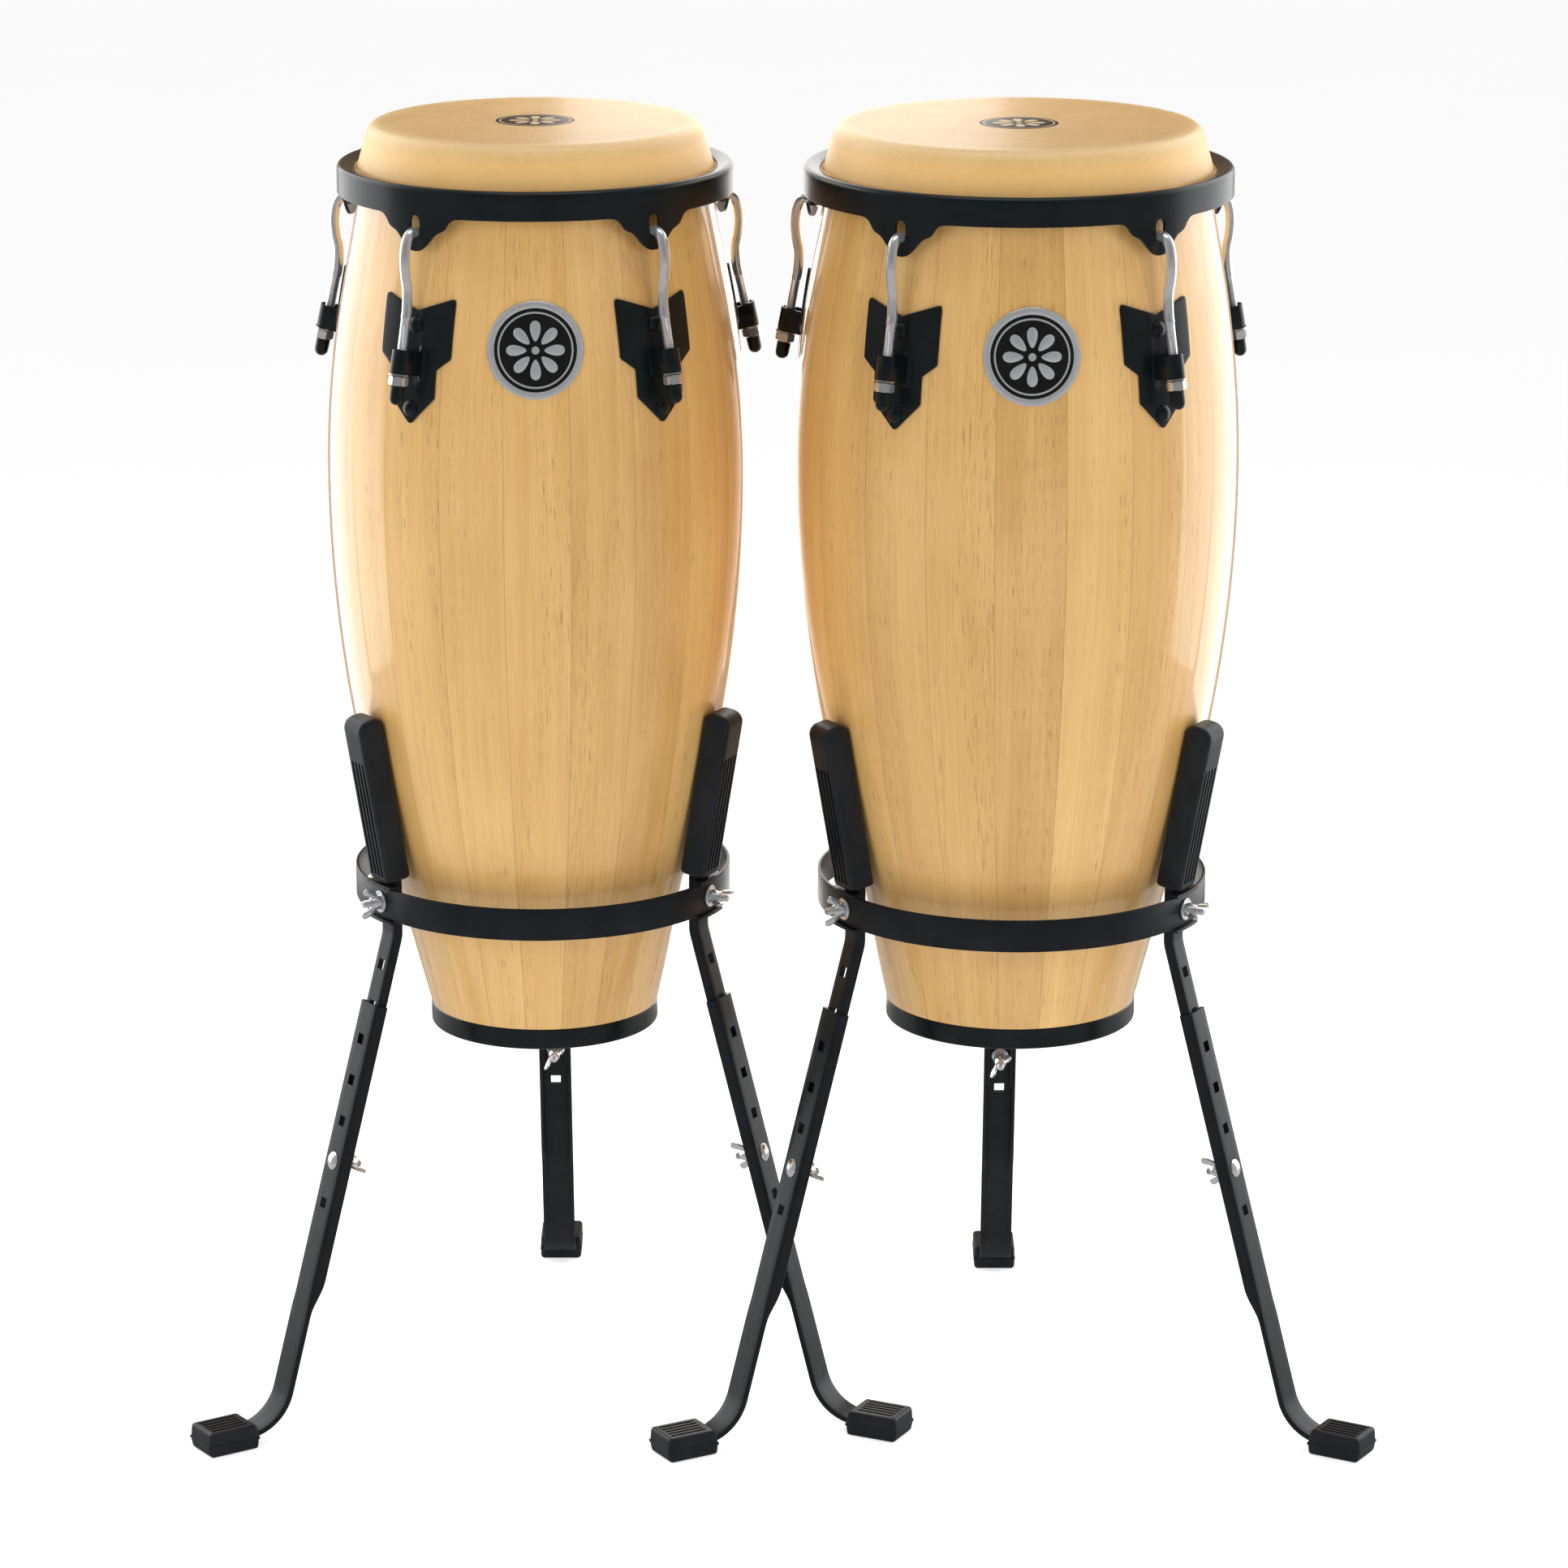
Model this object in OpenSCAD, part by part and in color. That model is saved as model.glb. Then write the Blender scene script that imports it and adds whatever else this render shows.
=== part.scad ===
// A pair of conga drums: a quinto and a wider conga, each held in its own three-legged basket stand.
// Millimetres, +Z up. The origin is on the floor, under the middle of the whole pair.
// A bearing is an angle in degrees seen from above, from the front (-Y) towards the right (+X).

/* [Quinto] */
// Outside radius of the quinto's shell at its belly
quinto_belly_r = 161.9; // [161:0.1:163]
// Height of the belly above the drum's base
quinto_belly_z = 440; // [436:1:444]
// Radius of the shell's long arc below the belly
quinto_low_arc_r = 1130; // [1120:5:1140]
// Height under which the shell is a straight taper
quinto_low_end_z = 150; // [145:1:155]
// Radius of the shell's arc above the belly
quinto_high_arc_r = 780; // [770:5:790]
// Height above which the shell is a straight taper
quinto_high_end_z = 585; // [580:1:590]
// Height of the drum to the top of its head
quinto_height = 711; // [709:0.5:713]
// Outside radius of the tension rim
quinto_rim_r = 151; // [150.5:0.1:151.5]
// Outside radius of the stand's ring
quinto_ring_r = 146.4; // [146:0.1:147]
// Height of the drum's base above the floor
quinto_base_z = 300; // [298:0.5:301]

/* [Conga] */
// Outside radius of the conga's shell at its belly
conga_belly_r = 170.3; // [169.5:0.1:171]
// Height of the belly above the drum's base
conga_belly_z = 438; // [434:1:442]
// Radius of the shell's long arc below the belly
conga_low_arc_r = 1083; // [1075:1:1090]
// Height under which the shell is a straight taper
conga_low_end_z = 167; // [162:1:172]
// Radius of the shell's arc above the belly
conga_high_arc_r = 886; // [880:1:892]
// Height above which the shell is a straight taper
conga_high_end_z = 600; // [596:1:604]
// Height of the drum to the top of its head
conga_height = 702; // [700:0.5:704]
// Outside radius of the tension rim
conga_rim_r = 163.1; // [162.6:0.1:163.6]
// Outside radius of the stand's ring
conga_ring_r = 151; // [150.5:0.1:151.5]
// Height of the drum's base above the floor
conga_base_z = 311; // [309:0.5:312]

/* [Placement] */
// Distance between the two drums' axes across the pair
drum_spacing = 366; // [366:1:380]
// How far the conga stands in front of the quinto
conga_forward = 26; // [26:1:30]
// Bearing of each drum's badge
drum_turn = 1.8; // [1.5:0.1:2]
// Bearing of the quinto stand's left front leg
quinto_left_leg = -56.4; // [-57:0.1:-56]
// Bearing of the quinto stand's right front leg
quinto_right_leg = 63.6; // [63.4:0.1:64]
// Bearing of the conga stand's front legs, either side
conga_front_leg = 60; // [59.8:0.1:60.2]

/* [Shell and head] */
// Number of staves in a shell
stave_count = 20; // [20]
// Thickness of a stave
stave_t = 12; // [11:0.5:13]
// Thickness of the skin
skin_t = 1.8; // [1.6:0.1:1.9]
// Height of the ring around the shell's foot
base_ring_h = 16.5; // [15:0.5:18]
// Diameter of the badge
badge_d = 72; // [68:1:76]

/* [Tuning hardware] */
// Number of lugs around a drum
lug_count = 5; // [5]
// Diameter of a tuning hook's rod
rod_d = 8; // [7.8:0.1:8]
// Thickness of the rim's sheet
rim_t = 2.5; // [2.3:0.1:2.7]
// Width of a lug plate across its wings
lug_w = 64; // [60:1:66]
// Thickness of a lug plate
lug_t = 2; // [1.8:0.1:2.2]

/* [Stand] */
// Height of the ring's lower edge above the floor
ring_z = 405; // [403:1:407]
// Height of the ring's band
ring_h = 25; // [24:0.5:26]
// Thickness of the ring's band
ring_t = 2.5; // [2.3:0.1:2.6]
// Width of an upper leg's channel
arm_w = 20.4; // [20:0.1:20.6]
// Depth of an upper leg's channel
arm_d = 7.5; // [7:0.1:8]
// Width of a lower leg's channel
leg_w = 26; // [26:0.1:26.4]
// Depth of a lower leg's channel
leg_d = 10; // [9.5:0.1:10.5]
// Outward slope of the legs
leg_slope = 0.2824; // [0.28:0.0001:0.285]
// How far a rubber foot's tip is from the drum's axis
foot_reach = 316; // [314:0.5:318]
// Length of a rubber foot
foot_l = 44; // [42:1:46]
// Width of a rubber foot
foot_w = 34; // [32:1:36]
// Height of a rubber foot
foot_h = 20; // [19:0.5:21]
// Width of a pad
pad_w = 28; // [27:0.5:29]
// Thickness of a pad from front to back
pad_t = 22; // [21.5:0.1:22.5]
// Travel of a leg in its upper leg's slot
leg_travel = 50; // [40:1:50]

/* [Hidden] */
DRUMS = ["quinto", "conga"];
DRUM_PARTS = ["shell", "head_skin", "flesh_hoop", "rim", "hooks", "hook_caps", "lug_plates", "lug_bolts",
              "lug_washers", "base_ring", "badge"];
STAND_PARTS = ["ring", "arms", "pads", "saddles", "ring_bolts"];
LEG_PARTS = ["leg", "foot", "leg_bolt"];

$fn = 96;
fine = 0.01;

// Where the two drums stand, with the pair's outer box centred on the origin
quinto_left = reach_x(quinto_left_leg);
conga_right = reach_x(conga_front_leg);
quinto_x = (quinto_left - conga_right - drum_spacing) / 2;
conga_x = quinto_x + drum_spacing;
front_edge = max(reach_y(quinto_left_leg), conga_forward + reach_y(conga_front_leg));
quinto_y = (front_edge - foot_reach) / 2;
conga_y = quinto_y - conga_forward;

// Farthest point of a foot to the side and to the front, from its own drum's axis
function reach_x(bearing) = foot_reach * sin(abs(bearing)) + foot_w / 2 * cos(bearing);
function reach_y(bearing) = foot_reach * cos(bearing) + foot_w / 2 * sin(abs(bearing));

// One record of sizes for each drum, read through the functions below
QUINTO = [quinto_belly_r, quinto_belly_z, quinto_low_arc_r, quinto_low_end_z, quinto_high_arc_r,
          quinto_high_end_z, quinto_height, quinto_rim_r, quinto_ring_r, quinto_base_z,
          quinto_x, quinto_y, [quinto_left_leg, quinto_right_leg, 180]];
CONGA = [conga_belly_r, conga_belly_z, conga_low_arc_r, conga_low_end_z, conga_high_arc_r,
         conga_high_end_z, conga_height, conga_rim_r, conga_ring_r, conga_base_z,
         conga_x, conga_y, [-conga_front_leg, conga_front_leg, 180]];

function belly_r(d) = d[0];
function belly_z(d) = d[1];
function low_arc_r(d) = d[2];
function low_end(d) = d[3];
function high_arc_r(d) = d[4];
function high_end(d) = d[5];
function top(d) = d[6];
function rim_r(d) = d[7];
function ring_r(d) = d[8];
function base_z(d) = d[9];
function leg_bearing(d, k) = d[12][k - 1];
function lug_bearing(k) = drum_turn + (k - (lug_count + 1) / 2) * 360 / lug_count + 180;

// Outside radius of the shell at height z above the drum's base
function arc_drop(r, rise) = r - sqrt(r * r - rise * rise);
function arc_slope(r, rise) = rise / sqrt(r * r - rise * rise);
function low_r(d, rise) = belly_r(d) - arc_drop(low_arc_r(d), rise);
function high_r(d, rise) = belly_r(d) - arc_drop(high_arc_r(d), rise);
function low_rise(d) = belly_z(d) - low_end(d);
function high_rise(d) = high_end(d) - belly_z(d);
function low_slope(d) = arc_slope(low_arc_r(d), low_rise(d));
function high_slope(d) = arc_slope(high_arc_r(d), high_rise(d));
function shell_r(d, z) =
    z < low_end(d) ? low_r(d, low_rise(d)) - low_slope(d) * (low_end(d) - z)
    : z < belly_z(d) ? low_r(d, belly_z(d) - z)
    : z < high_end(d) ? high_r(d, z - belly_z(d))
    : high_r(d, high_rise(d)) - high_slope(d) * (z - high_end(d));

// Angle of the shell's surface from upright, positive where it leans in towards the top
function lean(d, z) = atan((shell_r(d, z - 1) - shell_r(d, z + 1)) / 2);

// Heights at which a shell's curve has its points
function steps(from, to, count) = [for (i = [0:count]) from + (to - from) * i / count];
function curve_heights(d) = concat(steps(low_end(d), belly_z(d), 9), steps(belly_z(d) + 20, high_end(d), 6));

// Points of an arc about a centre, from angle a to angle b
function arc_points(centre, r, a, b, count) =
    [for (i = [0:count]) centre + r * [cos(a + (b - a) * i / count), sin(a + (b - a) * i / count)]];

module at_drum(d) translate([d[10], d[11], base_z(d)]) children();
module at_stand(d) translate([d[10], d[11], 0]) children();
// The children face the front: outward is -Y. This turns them to a bearing.
module at_bearing(bearing) rotate([0, 0, bearing]) children();
// Extrudes a side view, drawn as radius and height, to a width across the bearing
module side_view(w) rotate([90, 0, -90]) linear_extrude(w, center = true) children();
// Extrudes a front view, drawn as width and height, outward from radius r0 to r1
module front_view(r0, r1) translate([0, -r0, 0]) rotate([90, 0, 0]) linear_extrude(r1 - r0) children();
// A cylinder whose axis points outward, from radius r0 to r1
module outward_rod(dia, r0, r1, z) translate([0, -r0, z]) rotate([90, 0, 0]) cylinder(d = dia, h = r1 - r0);

// ---------------------------------------------------------------- shell and head
shell_foot_z = 3;
glue_line = 0.1;
head_round = 10;
edge_round = 8;

// Profile of a stave: outer side from the foot up, round bearing edge, inner side down
function stave_profile(d) = let (
        z_top = top(d) - skin_t - 0.2,
        foot_r = shell_r(d, 0) - 0.3,
        edge = [shell_r(d, z_top - edge_round) - edge_round, z_top - edge_round],
        outer = [for (z = curve_heights(d)) [shell_r(d, z), z]],
        inner = [for (z = curve_heights(d)) [shell_r(d, z) - stave_t, z]]
    ) concat(
        [[foot_r, shell_foot_z], [foot_r, base_ring_h], [shell_r(d, base_ring_h), base_ring_h]],
        outer,
        arc_points(edge, edge_round, 0, 90, 4),
        [[shell_r(d, z_top) - stave_t + 2, z_top], [shell_r(d, z_top - 6) - stave_t, z_top - 6]],
        [for (i = [len(inner) - 1:-1:0]) inner[i]],
        [[shell_r(d, shell_foot_z) - stave_t, shell_foot_z]]
    );

module stave(d) {
    turn = 360 / stave_count;
    gap = glue_line / belly_r(d) * 180 / PI;
    rotate([0, 0, -90 - turn / 2 + gap / 2])
        rotate_extrude(angle = turn - gap) polygon(stave_profile(d));
}

module shell(d) color("burlywood") at_drum(d) {
    for (i = [0:stave_count - 1]) {
        bearing = drum_turn + i * 360 / stave_count;
        is_lug = (i + stave_count / lug_count / 2) % (stave_count / lug_count) == 0;
        at_bearing(bearing) difference() {
            stave(d);
            if (is_lug) for (z = lug_bolt_heights(d)) at_surface(d, z) cylinder(d = bolt_d + 0.4, h = 60, center = true);
        }
    }
}

// The skin: a flat head, a round edge, and a collar that leans out to the flesh hoop
collar_slope = 0.29;
function collar_angle() = atan(collar_slope);
function head_edge(d) = [shell_r(d, top(d) - head_round) + skin_t + 0.2 - head_round, top(d) - head_round];
function collar_r(d, z) = let (c = head_edge(d), a = collar_angle())
    c[0] + head_round * cos(a) + collar_slope * (c[1] + head_round * sin(a) - z);
collar_end = 33.5;

module head_skin(d) color("wheat") at_drum(d) {
    c = head_edge(d);
    a = collar_angle();
    z_end = top(d) - collar_end;
    rotate_extrude() polygon(concat(
        [[0, top(d) - skin_t], [0, top(d)]],
        arc_points(c, head_round, 90, a, 5),
        [[collar_r(d, z_end), z_end], [collar_r(d, z_end) - skin_t, z_end]],
        arc_points(c, head_round - skin_t, a, 90, 5)
    ));
}

// The hoop inside the skin's tucked edge, under the rim's flange
hoop_d = 7;
hoop_drop = 38.8;
function hoop_r(d) = rim_r(d) - 11.8;
module flesh_hoop(d) color("tan") at_drum(d)
    rotate_extrude() translate([hoop_r(d), top(d) - hoop_drop]) circle(d = hoop_d, $fn = 48);

// A plastic ring that protects the shell's foot
module base_ring(d) color("black") at_drum(d) {
    r = shell_r(d, base_ring_h) + 0.3;
    step_r = shell_r(d, 0) - 0.3;
    rotate_extrude() polygon([
        [step_r - stave_t + 5, 0], [r - 1.5, 0], [r, 1.5], [r, base_ring_h - fine],
        [step_r + 0.05, base_ring_h - fine], [step_r + 0.05, shell_foot_z - 0.05],
        [step_r - stave_t + 5, shell_foot_z - 0.05]
    ]);
}

// A layer that follows the shell between two heights, a little above its surface
module shell_layer(d, z0, z1, gap, t) {
    heights = steps(z0, z1, 8);
    rotate_extrude() polygon(concat(
        [for (z = heights) [shell_r(d, z) + gap + t, z]],
        [for (i = [len(heights) - 1:-1:0]) [shell_r(d, heights[i]) + gap, heights[i]]]
    ));
}

// A solid that fills the shell out to a gap above its surface, between two heights
module shell_core(d, z0, z1, gap) rotate_extrude() polygon(concat(
    [[0, z0]],
    [for (z = steps(z0, z1, 8)) [shell_r(d, z) + gap, z]],
    [[0, z1]]
));

badge_drop = 148;
badge_t = 1.4;
module badge(d) color("dimgray") at_drum(d) at_bearing(drum_turn) {
    z = top(d) - badge_drop;
    r = shell_r(d, z);
    low = z - badge_d / 2 - 3;
    high = z + badge_d / 2 + 7;
    intersection() {
        shell_core(d, low, high, 0.1 + badge_t);
        difference() {
            outward_rod(badge_d, r - 25, r + 25, z);
            shell_core(d, low, high, 0.1);
        }
    }
}

// ---------------------------------------------------------------- rim and tuning hardware
rim_top_drop = 30.5;
rim_bottom_drop = 52.3;
rim_corner_r = 4;
rim_flange = 12.3;
rim_dish = 2;
ear_drop = 30;
ear_half = [[36, 2], [30, -2], [27, -6.5], [24, -10], [20.5, -12], [17, -14], [13, -18],
            [9.5, -22], [6, -25], [2, -26.2]];
slot_w = 8.9;
slot_top_drop = 51.5;
slot_bottom_drop = 68.6;

module rim_profile(d) {
    r = rim_r(d);
    z = top(d) - rim_top_drop;
    low = top(d) - rim_bottom_drop;
    corner = [r - rim_corner_r, z - rim_corner_r];
    polygon(concat(
        [[r - rim_t, low - ear_drop], [r, low - ear_drop]],
        arc_points(corner, rim_corner_r, 0, 90, 6),
        [[r - rim_flange, z - rim_dish], [r - rim_flange, z - rim_dish - rim_t]],
        arc_points(corner, rim_corner_r - rim_t, 90, 0, 4)
    ));
}

module ear_outline(d) {
    low = top(d) - rim_bottom_drop;
    right = [for (p = ear_half) [p[0], low + p[1]]];
    left = [for (i = [len(ear_half) - 1:-1:0]) [-ear_half[i][0], low + ear_half[i][1]]];
    polygon(concat(right, left));
}

module slot_outline(d) {
    high = top(d) - slot_top_drop - slot_w / 2;
    low = top(d) - slot_bottom_drop + slot_w / 2;
    translate([0, high]) circle(d = slot_w, $fn = 32);
    translate([0, low]) circle(d = slot_w, $fn = 32);
    translate([-slot_w / 2, low]) square([slot_w, high - low]);
}

module rim(d) color("black") at_drum(d) {
    r = rim_r(d);
    low = top(d) - rim_bottom_drop;
    difference() {
        rotate_extrude() rim_profile(d);
        // What is cut away below the band, all but the ears
        difference() {
            translate([0, 0, low - ear_drop - 2]) difference() {
                cylinder(r = r + 3, h = ear_drop + 2);
                translate([0, 0, -1]) cylinder(r = r - 8, h = ear_drop + 4);
            }
            for (k = [1:lug_count]) at_bearing(lug_bearing(k)) front_view(r - 20, r + 5) ear_outline(d);
        }
        for (k = [1:lug_count]) at_bearing(lug_bearing(k)) front_view(r - 20, r + 5) slot_outline(d);
    }
}

// A tuning hook, as radius from the drum's axis and height: over the ear, out, and down through the lug
nut_drop = 173;
barrel_out = 18;
function hook_foot(d) = [shell_r(d, top(d) - nut_drop) + barrel_out, top(d) - nut_drop];
function hook_knee(d) = [rim_r(d) + 8.6, top(d) - 111];
function hook_tilt(d) = let (v = hook_foot(d) - hook_knee(d)) atan(v[0] / -v[1]);
function along_rod(d, s) = hook_foot(d) + s * [-sin(hook_tilt(d)), cos(hook_tilt(d))];
// The hook's bent upper end, from inside the ear to its straight stretch
bar = 7;
function hook_path(d) = let (r = rim_r(d), z = top(d)) [
    [r - 6.5, z - 71], [r - 5.5, z - 66.5], [r - 2, z - 64.3], [r + 3, z - 64.3], [r + 8, z - 67],
    [r + 11, z - 73], [r + 12.6, z - 84], [r + 11.4, z - 97], [r + 9.6, z - 106], along_rod(d, 44)
];

// A round rod through the lug, with its bent end drawn as a square bar
module hooks(d) color("silver") at_drum(d)
    for (k = [1:lug_count]) at_bearing(lug_bearing(k)) {
        side_view(bar) polygon(strip(shifted(hook_path(d), -bar / 2), bar));
        on_rod(d, cap_top - cap_l + 0.3) cylinder(d = rod_d, h = 62);
    }

// Puts the children on the hook's rod: +Z runs up the rod, s is the distance above the nut's middle
module on_rod(d, s) {
    p = along_rod(d, s);
    translate([0, -p[0], p[1]]) rotate([-hook_tilt(d), 0, 0]) children();
}

nut_h = 7;
nut_flats = 13;
nut_bore = rod_d + 1.7;
module tuning_nut(d, k) color("silver") at_drum(d) at_bearing(lug_bearing(k)) on_rod(d, 0)
    difference() {
        cylinder(d = nut_flats / cos(30), h = nut_h, center = true, $fn = 6);
        cylinder(d = nut_bore, h = nut_h + 1, center = true, $fn = 48);
    }

cap_top = -3.8;
cap_l = 9;
cap_d = 10.6;
module hook_caps(d) color("black") at_drum(d)
    for (k = [1:lug_count]) at_bearing(lug_bearing(k)) on_rod(d, cap_top) difference() {
        union() {
            translate([0, 0, -cap_l]) cylinder(d = cap_d, h = cap_l, $fn = 32);
            translate([0, 0, -cap_l]) sphere(d = cap_d, $fn = 32);
        }
        translate([0, 0, -cap_l]) cylinder(d = rod_d + 0.02, h = cap_l + 1, $fn = 32);
    }

// A lug: a plate on the shell with an arrow-shaped foot and two wings, and a loop around the hook
lug_tip_drop = 208;
lug_half = [[0, 0], [20.5, 21], [20.5, 42], [32, 51], [32, 93], [29.5, 95], [0, 85]];
bolt_d = 6;
barrel_w = 14.5;
barrel_h = 18;
barrel_wall = 2;
barrel_low = 5.3;
function lug_bolt_heights(d) = [top(d) - 196, top(d) - 134];

module lug_outline(d) {
    low = top(d) - lug_tip_drop;
    w = lug_w / 64;
    right = [for (p = lug_half) [p[0] * w, low + p[1]]];
    left = [for (i = [len(lug_half) - 2:-1:1]) [-lug_half[i][0] * w, low + lug_half[i][1]]];
    polygon(concat(right, left));
}

// Puts the children on the shell's surface at height z, with +Z pointing straight out of the wood
module at_surface(d, z) translate([0, -shell_r(d, z), z]) rotate([90 - lean(d, z), 0, 0]) children();

module lug_plate(d) {
    low = top(d) - lug_tip_drop;
    r = shell_r(d, low);
    difference() {
        intersection() {
            shell_layer(d, low - 3, low + 98, 0.15, lug_t);
            front_view(r - 45, r + 10) lug_outline(d);
        }
        for (z = lug_bolt_heights(d)) at_surface(d, z) cylinder(d = bolt_d + 0.4, h = 30, center = true);
    }
}

// The loop is round on the outside and open towards the plate, to which two cheeks join it
module barrel(d) {
    z_mid = top(d) - nut_drop + barrel_low + barrel_h / 2;
    depth = along_rod(d, barrel_low + barrel_h / 2)[0] - shell_r(d, z_mid) - 0.5;
    bore = barrel_w - 2 * barrel_wall;
    on_rod(d, barrel_low) linear_extrude(barrel_h) difference() {
        union() {
            circle(d = barrel_w, $fn = 48);
            translate([-barrel_w / 2, 0]) square([barrel_w, depth]);
        }
        circle(d = bore, $fn = 48);
        translate([-bore / 2, 0]) square([bore, depth - 4]);
    }
}

module lug_plates(d) color("black") at_drum(d)
    for (k = [1:lug_count]) at_bearing(lug_bearing(k)) {
        union() {
            lug_plate(d);
            difference() {
                barrel(d);
                shell_core(d, top(d) - lug_tip_drop - 3, top(d) - lug_tip_drop + 98, 0.15 + lug_t / 2);
            }
        }
    }

// Round-headed bolts through the lug plate and the stave, with a nut inside
bolt_head_d = 12.5;
bolt_head_h = 3.2;
module lug_bolts(d) color("black") at_drum(d)
    for (k = [1:lug_count]) for (z = lug_bolt_heights(d))
        at_bearing(lug_bearing(k)) at_surface(d, z) {
            translate([0, 0, -stave_t - 7]) cylinder(d = bolt_d, h = stave_t + 7 + lug_t + 1, $fn = 32);
            translate([0, 0, lug_t + 0.75]) round_head(bolt_head_d, bolt_head_h);
        }

// A domed head: a spherical cap of a given diameter and height
module round_head(dia, h) {
    r = (dia * dia / 4 + h * h) / (2 * h);
    intersection() {
        translate([0, 0, h - r]) sphere(r = r, $fn = 64);
        cylinder(d = dia, h = h, $fn = 48);
    }
}

// Washers under the tuning nuts, and the plate washer and nut of each lug bolt inside the shell
module lug_washers(d) color("silver") at_drum(d)
    for (k = [1:lug_count]) at_bearing(lug_bearing(k)) {
        on_rod(d, barrel_low - 1.5) difference() {
            cylinder(d = 16, h = 1.4, $fn = 48);
            translate([0, 0, -1]) cylinder(d = nut_bore, h = 4, $fn = 48);
        }
        for (z = lug_bolt_heights(d)) at_surface(d, z) translate([0, 0, -stave_t - 5.9]) difference() {
            union() {
                cylinder(d = 10 / cos(30), h = 4.01, $fn = 6);
                translate([0, 0, 4]) cylinder(d = 18, h = 1.4, $fn = 48);
            }
            translate([0, 0, -1]) cylinder(d = bolt_d + 0.1, h = 10, $fn = 32);
        }
    }

// ---------------------------------------------------------------- basket stand
drum_gap = 0.5;
ring_mid = ring_z + ring_h / 2;
ring_bolt_d = 6;
arm_t = 2;
leg_t = 2.6;
leg_gap = 0.5;
arm_foot_z = 188;
arm_top_z = 562;
pad_low_z = 437;
pad_high_z = 568;
pad_contact_z = 552;
hole_side = 8;
hole_pitch = 33;
strap_t = 4;
strap_z = 10;
strap_bend_r = 36;
leg_top_z = 338;
leg_channel_end_z = 108;
leg_bolt_z = 215;

// The upper leg's outer face: sloped leg, upright stretch behind the ring, and the arm in the pad
function arm_face_r(d) = ring_r(d) - ring_t - 3;
function knee_z() = ring_z - 14;
function leg_face_r(d, z) = arm_face_r(d) + leg_slope * (knee_z() - z);
function pad_low_r(d) = ring_r(d) - 19.9;
function pad_slope(d) =
    (shell_r(d, pad_contact_z - base_z(d)) + drum_gap - pad_low_r(d)) / (pad_contact_z - pad_low_z);
function pad_r(d, z) = pad_low_r(d) + pad_slope(d) * (z - pad_low_z);
function arm_lean_z(d) = pad_low_z - 4;
function arm_top_r(d) = pad_r(d, arm_top_z) + (pad_t + arm_d) / 2;
function arm_face(d) = [
    [leg_face_r(d, arm_foot_z), arm_foot_z], [arm_face_r(d), knee_z()],
    [arm_face_r(d), arm_lean_z(d)], [arm_top_r(d), arm_top_z]
];

// A strip of thickness t along a path, to the path's inner side, mitred at the bends
function unit(v) = v / norm(v);
function left_of(v) = [-v[1], v[0]];
function path_normal(p, i) =
    i == 0 ? left_of(unit(p[1] - p[0]))
    : i == len(p) - 1 ? left_of(unit(p[i] - p[i - 1]))
    : let (a = left_of(unit(p[i] - p[i - 1])), b = left_of(unit(p[i + 1] - p[i])), m = unit(a + b)) m / (m * a);
function shifted(p, t) = [for (i = [0:len(p) - 1]) p[i] + t * path_normal(p, i)];
function strip(p, t) = concat(p, [for (i = [len(p) - 1:-1:0]) (shifted(p, t))[i]]);

// A channel along a path: a web at the outer face, and a flange down each side
module channel(path, w, depth, t) {
    side_view(w) polygon(strip(path, t));
    for (side = [-1, 1]) translate([side * (w - t) / 2, 0, 0]) side_view(t) polygon(strip(path, depth));
}

// Puts the children on the sloped leg's outer face at height z, with +Z pointing straight out
leg_tilt = atan(leg_slope);
module on_leg(d, z) translate([0, -leg_face_r(d, z), z]) rotate([90 - leg_tilt, 0, 0]) children();

module square_hole() cube([hole_side, hole_side, 30], center = true);

// Height of hole number i on a leg, counted up from the bolt
function hole_z(i) = leg_bolt_z + i * hole_pitch * cos(leg_tilt);

module arm(d) difference() {
    channel(arm_face(d), arm_w, arm_d, arm_t);
    for (i = [3.8, 4.8]) on_leg(d, hole_z(i)) square_hole();
    // The slot that the leg bolt travels in
    on_leg(d, leg_bolt_z) {
        translate([0, leg_travel / 2, 0]) cube([hole_side, leg_travel, 30], center = true);
        cylinder(d = hole_side, h = 30, center = true, $fn = 32);
        translate([0, leg_travel, 0]) cylinder(d = hole_side, h = 30, center = true, $fn = 32);
    }
    outward_rod(ring_bolt_d + 0.4, arm_face_r(d) - 20, arm_face_r(d) + 5, ring_mid);
}

module arms(d) color("dimgray") at_stand(d)
    for (k = [1:3]) at_bearing(leg_bearing(d, k)) arm(d);

module ring(d) color("dimgray") at_stand(d) difference() {
    translate([0, 0, ring_z]) cylinder(r = ring_r(d), h = ring_h, $fn = 128);
    translate([0, 0, ring_z - 1]) cylinder(r = ring_r(d) - ring_t, h = ring_h + 2, $fn = 128);
    for (k = [1:3]) at_bearing(leg_bearing(d, k))
        outward_rod(ring_bolt_d + 0.4, ring_r(d) - 20, ring_r(d) + 20, ring_mid);
}

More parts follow.
